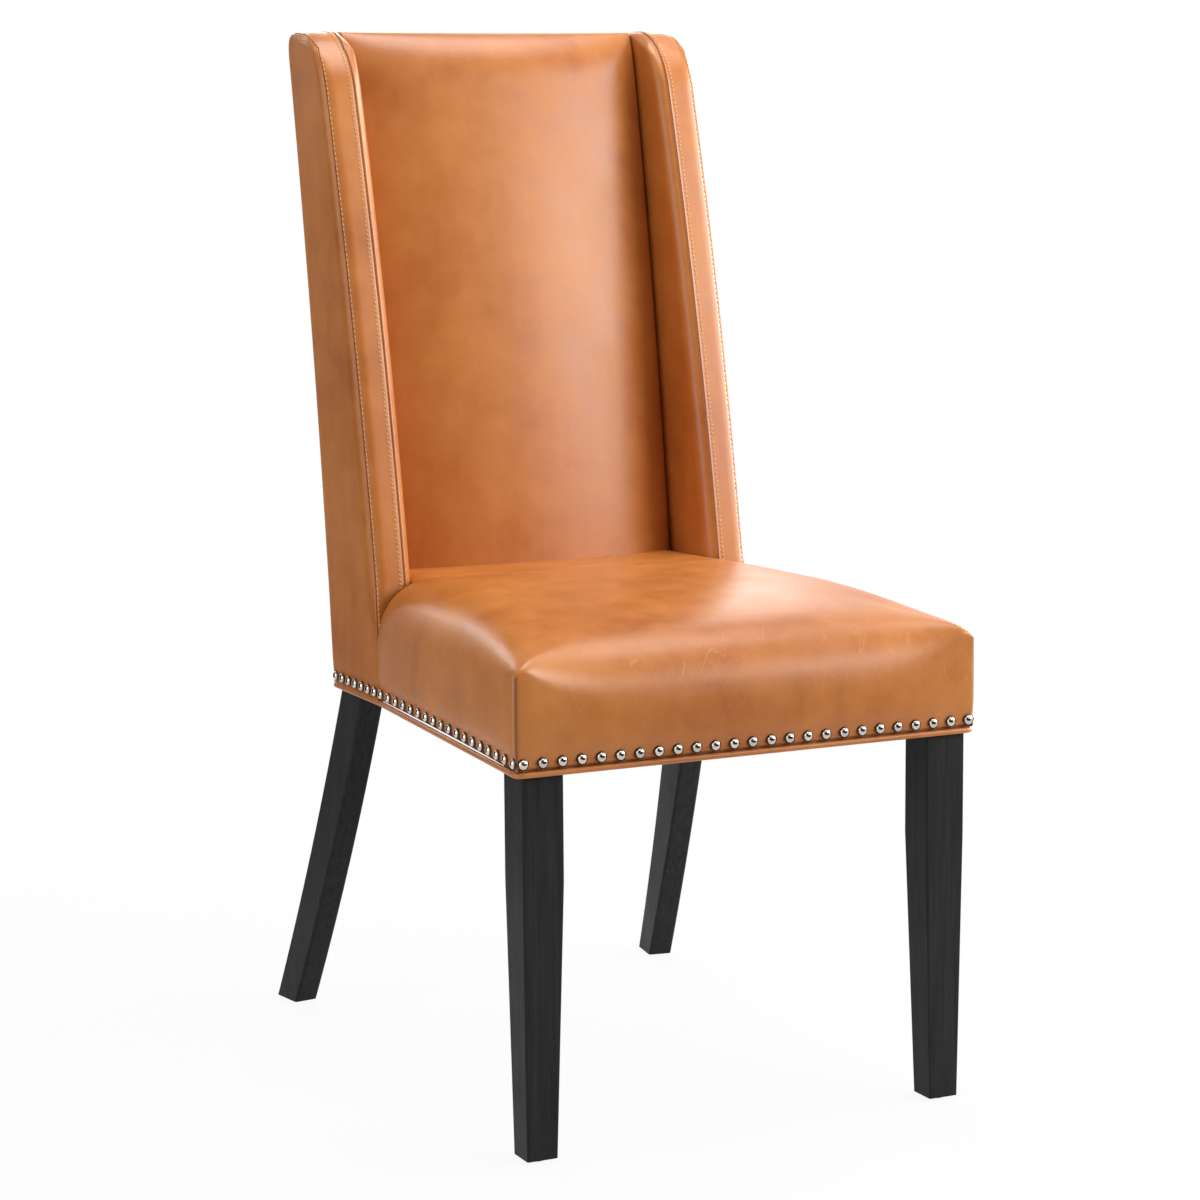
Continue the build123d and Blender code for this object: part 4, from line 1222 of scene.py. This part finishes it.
def makeLamps():
    for lamp in lamps:
        data = bpy.data.lights.new(lamp["name"], "AREA")
        data.shape = "RECTANGLE"
        data.size, data.size_y = lamp["size"]
        data.energy = lamp["power"]
        lit = bpy.data.objects.new(lamp["name"], data)
        lit.matrix_world = aimed(lamp)
        lit.visible_diffuse = lamp["name"] not in sheenLamps
        scene.collection.objects.link(lit)


def makeFlags():
    material, _, shader = newMaterial("blackCard")
    shader.inputs["Base Color"].default_value = (0.02, 0.02, 0.02, 1)
    shader.inputs["Roughness"].default_value = 1.0
    shader.inputs["Specular IOR Level"].default_value = 0.0
    for flag in flags:
        bm = bmesh.new()
        shape = aimed(flag) @ Matrix.Diagonal((*flag["size"], 1, 1))
        bmesh.ops.create_grid(bm, x_segments=2, y_segments=2, size=0.5, matrix=shape)
        card = newObject(flag["name"], bm, material)
        card.visible_camera = False
        card.visible_diffuse = False
        card.visible_shadow = False
        card.visible_transmission = False


# 1 for what the camera, a reflection or a clear piece sees
def seenShare(tree):
    rays = tree.nodes.new("ShaderNodeLightPath").outputs
    seen = addMath(tree, "MAXIMUM", rays["Is Camera Ray"], rays["Is Glossy Ray"])
    return addMath(tree, "MAXIMUM", seen, rays["Is Transmission Ray"])


def mixShaders(tree, share, first, second, output):
    both = addNode(tree, "ShaderNodeMixShader", {"Fac": share})
    tree.links.new(first.outputs[0], both.inputs[1])
    tree.links.new(second.outputs[0], both.inputs[2])
    tree.links.new(both.outputs[0], output.inputs["Surface"])


surround = {"light": 0.12, "seen": 1.0}


def makeWorld():
    world = bpy.data.worlds.new("studio")
    scene.world = world
    world.use_nodes = True
    tree = world.node_tree
    tree.nodes.clear()
    output = tree.nodes.new("ShaderNodeOutputWorld")
    dim = addNode(tree, "ShaderNodeBackground", {"Color": (1, 1, 1, 1), "Strength": surround["light"]})
    white = addNode(tree, "ShaderNodeBackground", {"Color": (1, 1, 1, 1), "Strength": surround["seen"]})
    mixShaders(tree, seenShare(tree), dim, white, output)


# the floor keeps a faint shadow near the chair and fades to white away from it
ground = {
    "half": 8.0,
    "colour": (0.60, 0.60, 0.60, 1),
    "roughness": 0.9,
    "fadeReach": (0.9, 2.2),
    "white": (0.93, 1.0),
}


def makeFloor():
    material, tree, shader = newMaterial("paleFloor")
    shader.inputs["Base Color"].default_value = ground["colour"]
    shader.inputs["Roughness"].default_value = ground["roughness"]
    glow = addNode(tree, "ShaderNodeEmission", {"Color": (1, 1, 1, 1), "Strength": surround["seen"]})
    away = addNode(tree, "ShaderNodeVectorMath", {"Vector": objectCoordinates(tree)}, operation="LENGTH")
    fade = addRange(tree, away.outputs["Value"], ground["fadeReach"], ground["white"])
    output = next(item for item in tree.nodes if item.type == "OUTPUT_MATERIAL")
    mixShaders(tree, addMath(tree, "MULTIPLY", seenShare(tree), fade), shader, glow, output)
    bm = bmesh.new()
    bmesh.ops.create_grid(bm, x_segments=4, y_segments=4, size=ground["half"])
    floor = newObject("floor", bm, material)


makeCamera()
makeLamps()
makeFlags()
makeWorld()
makeFloor()
scene.view_settings.view_transform = "Standard"
print("camera, light and floor made")
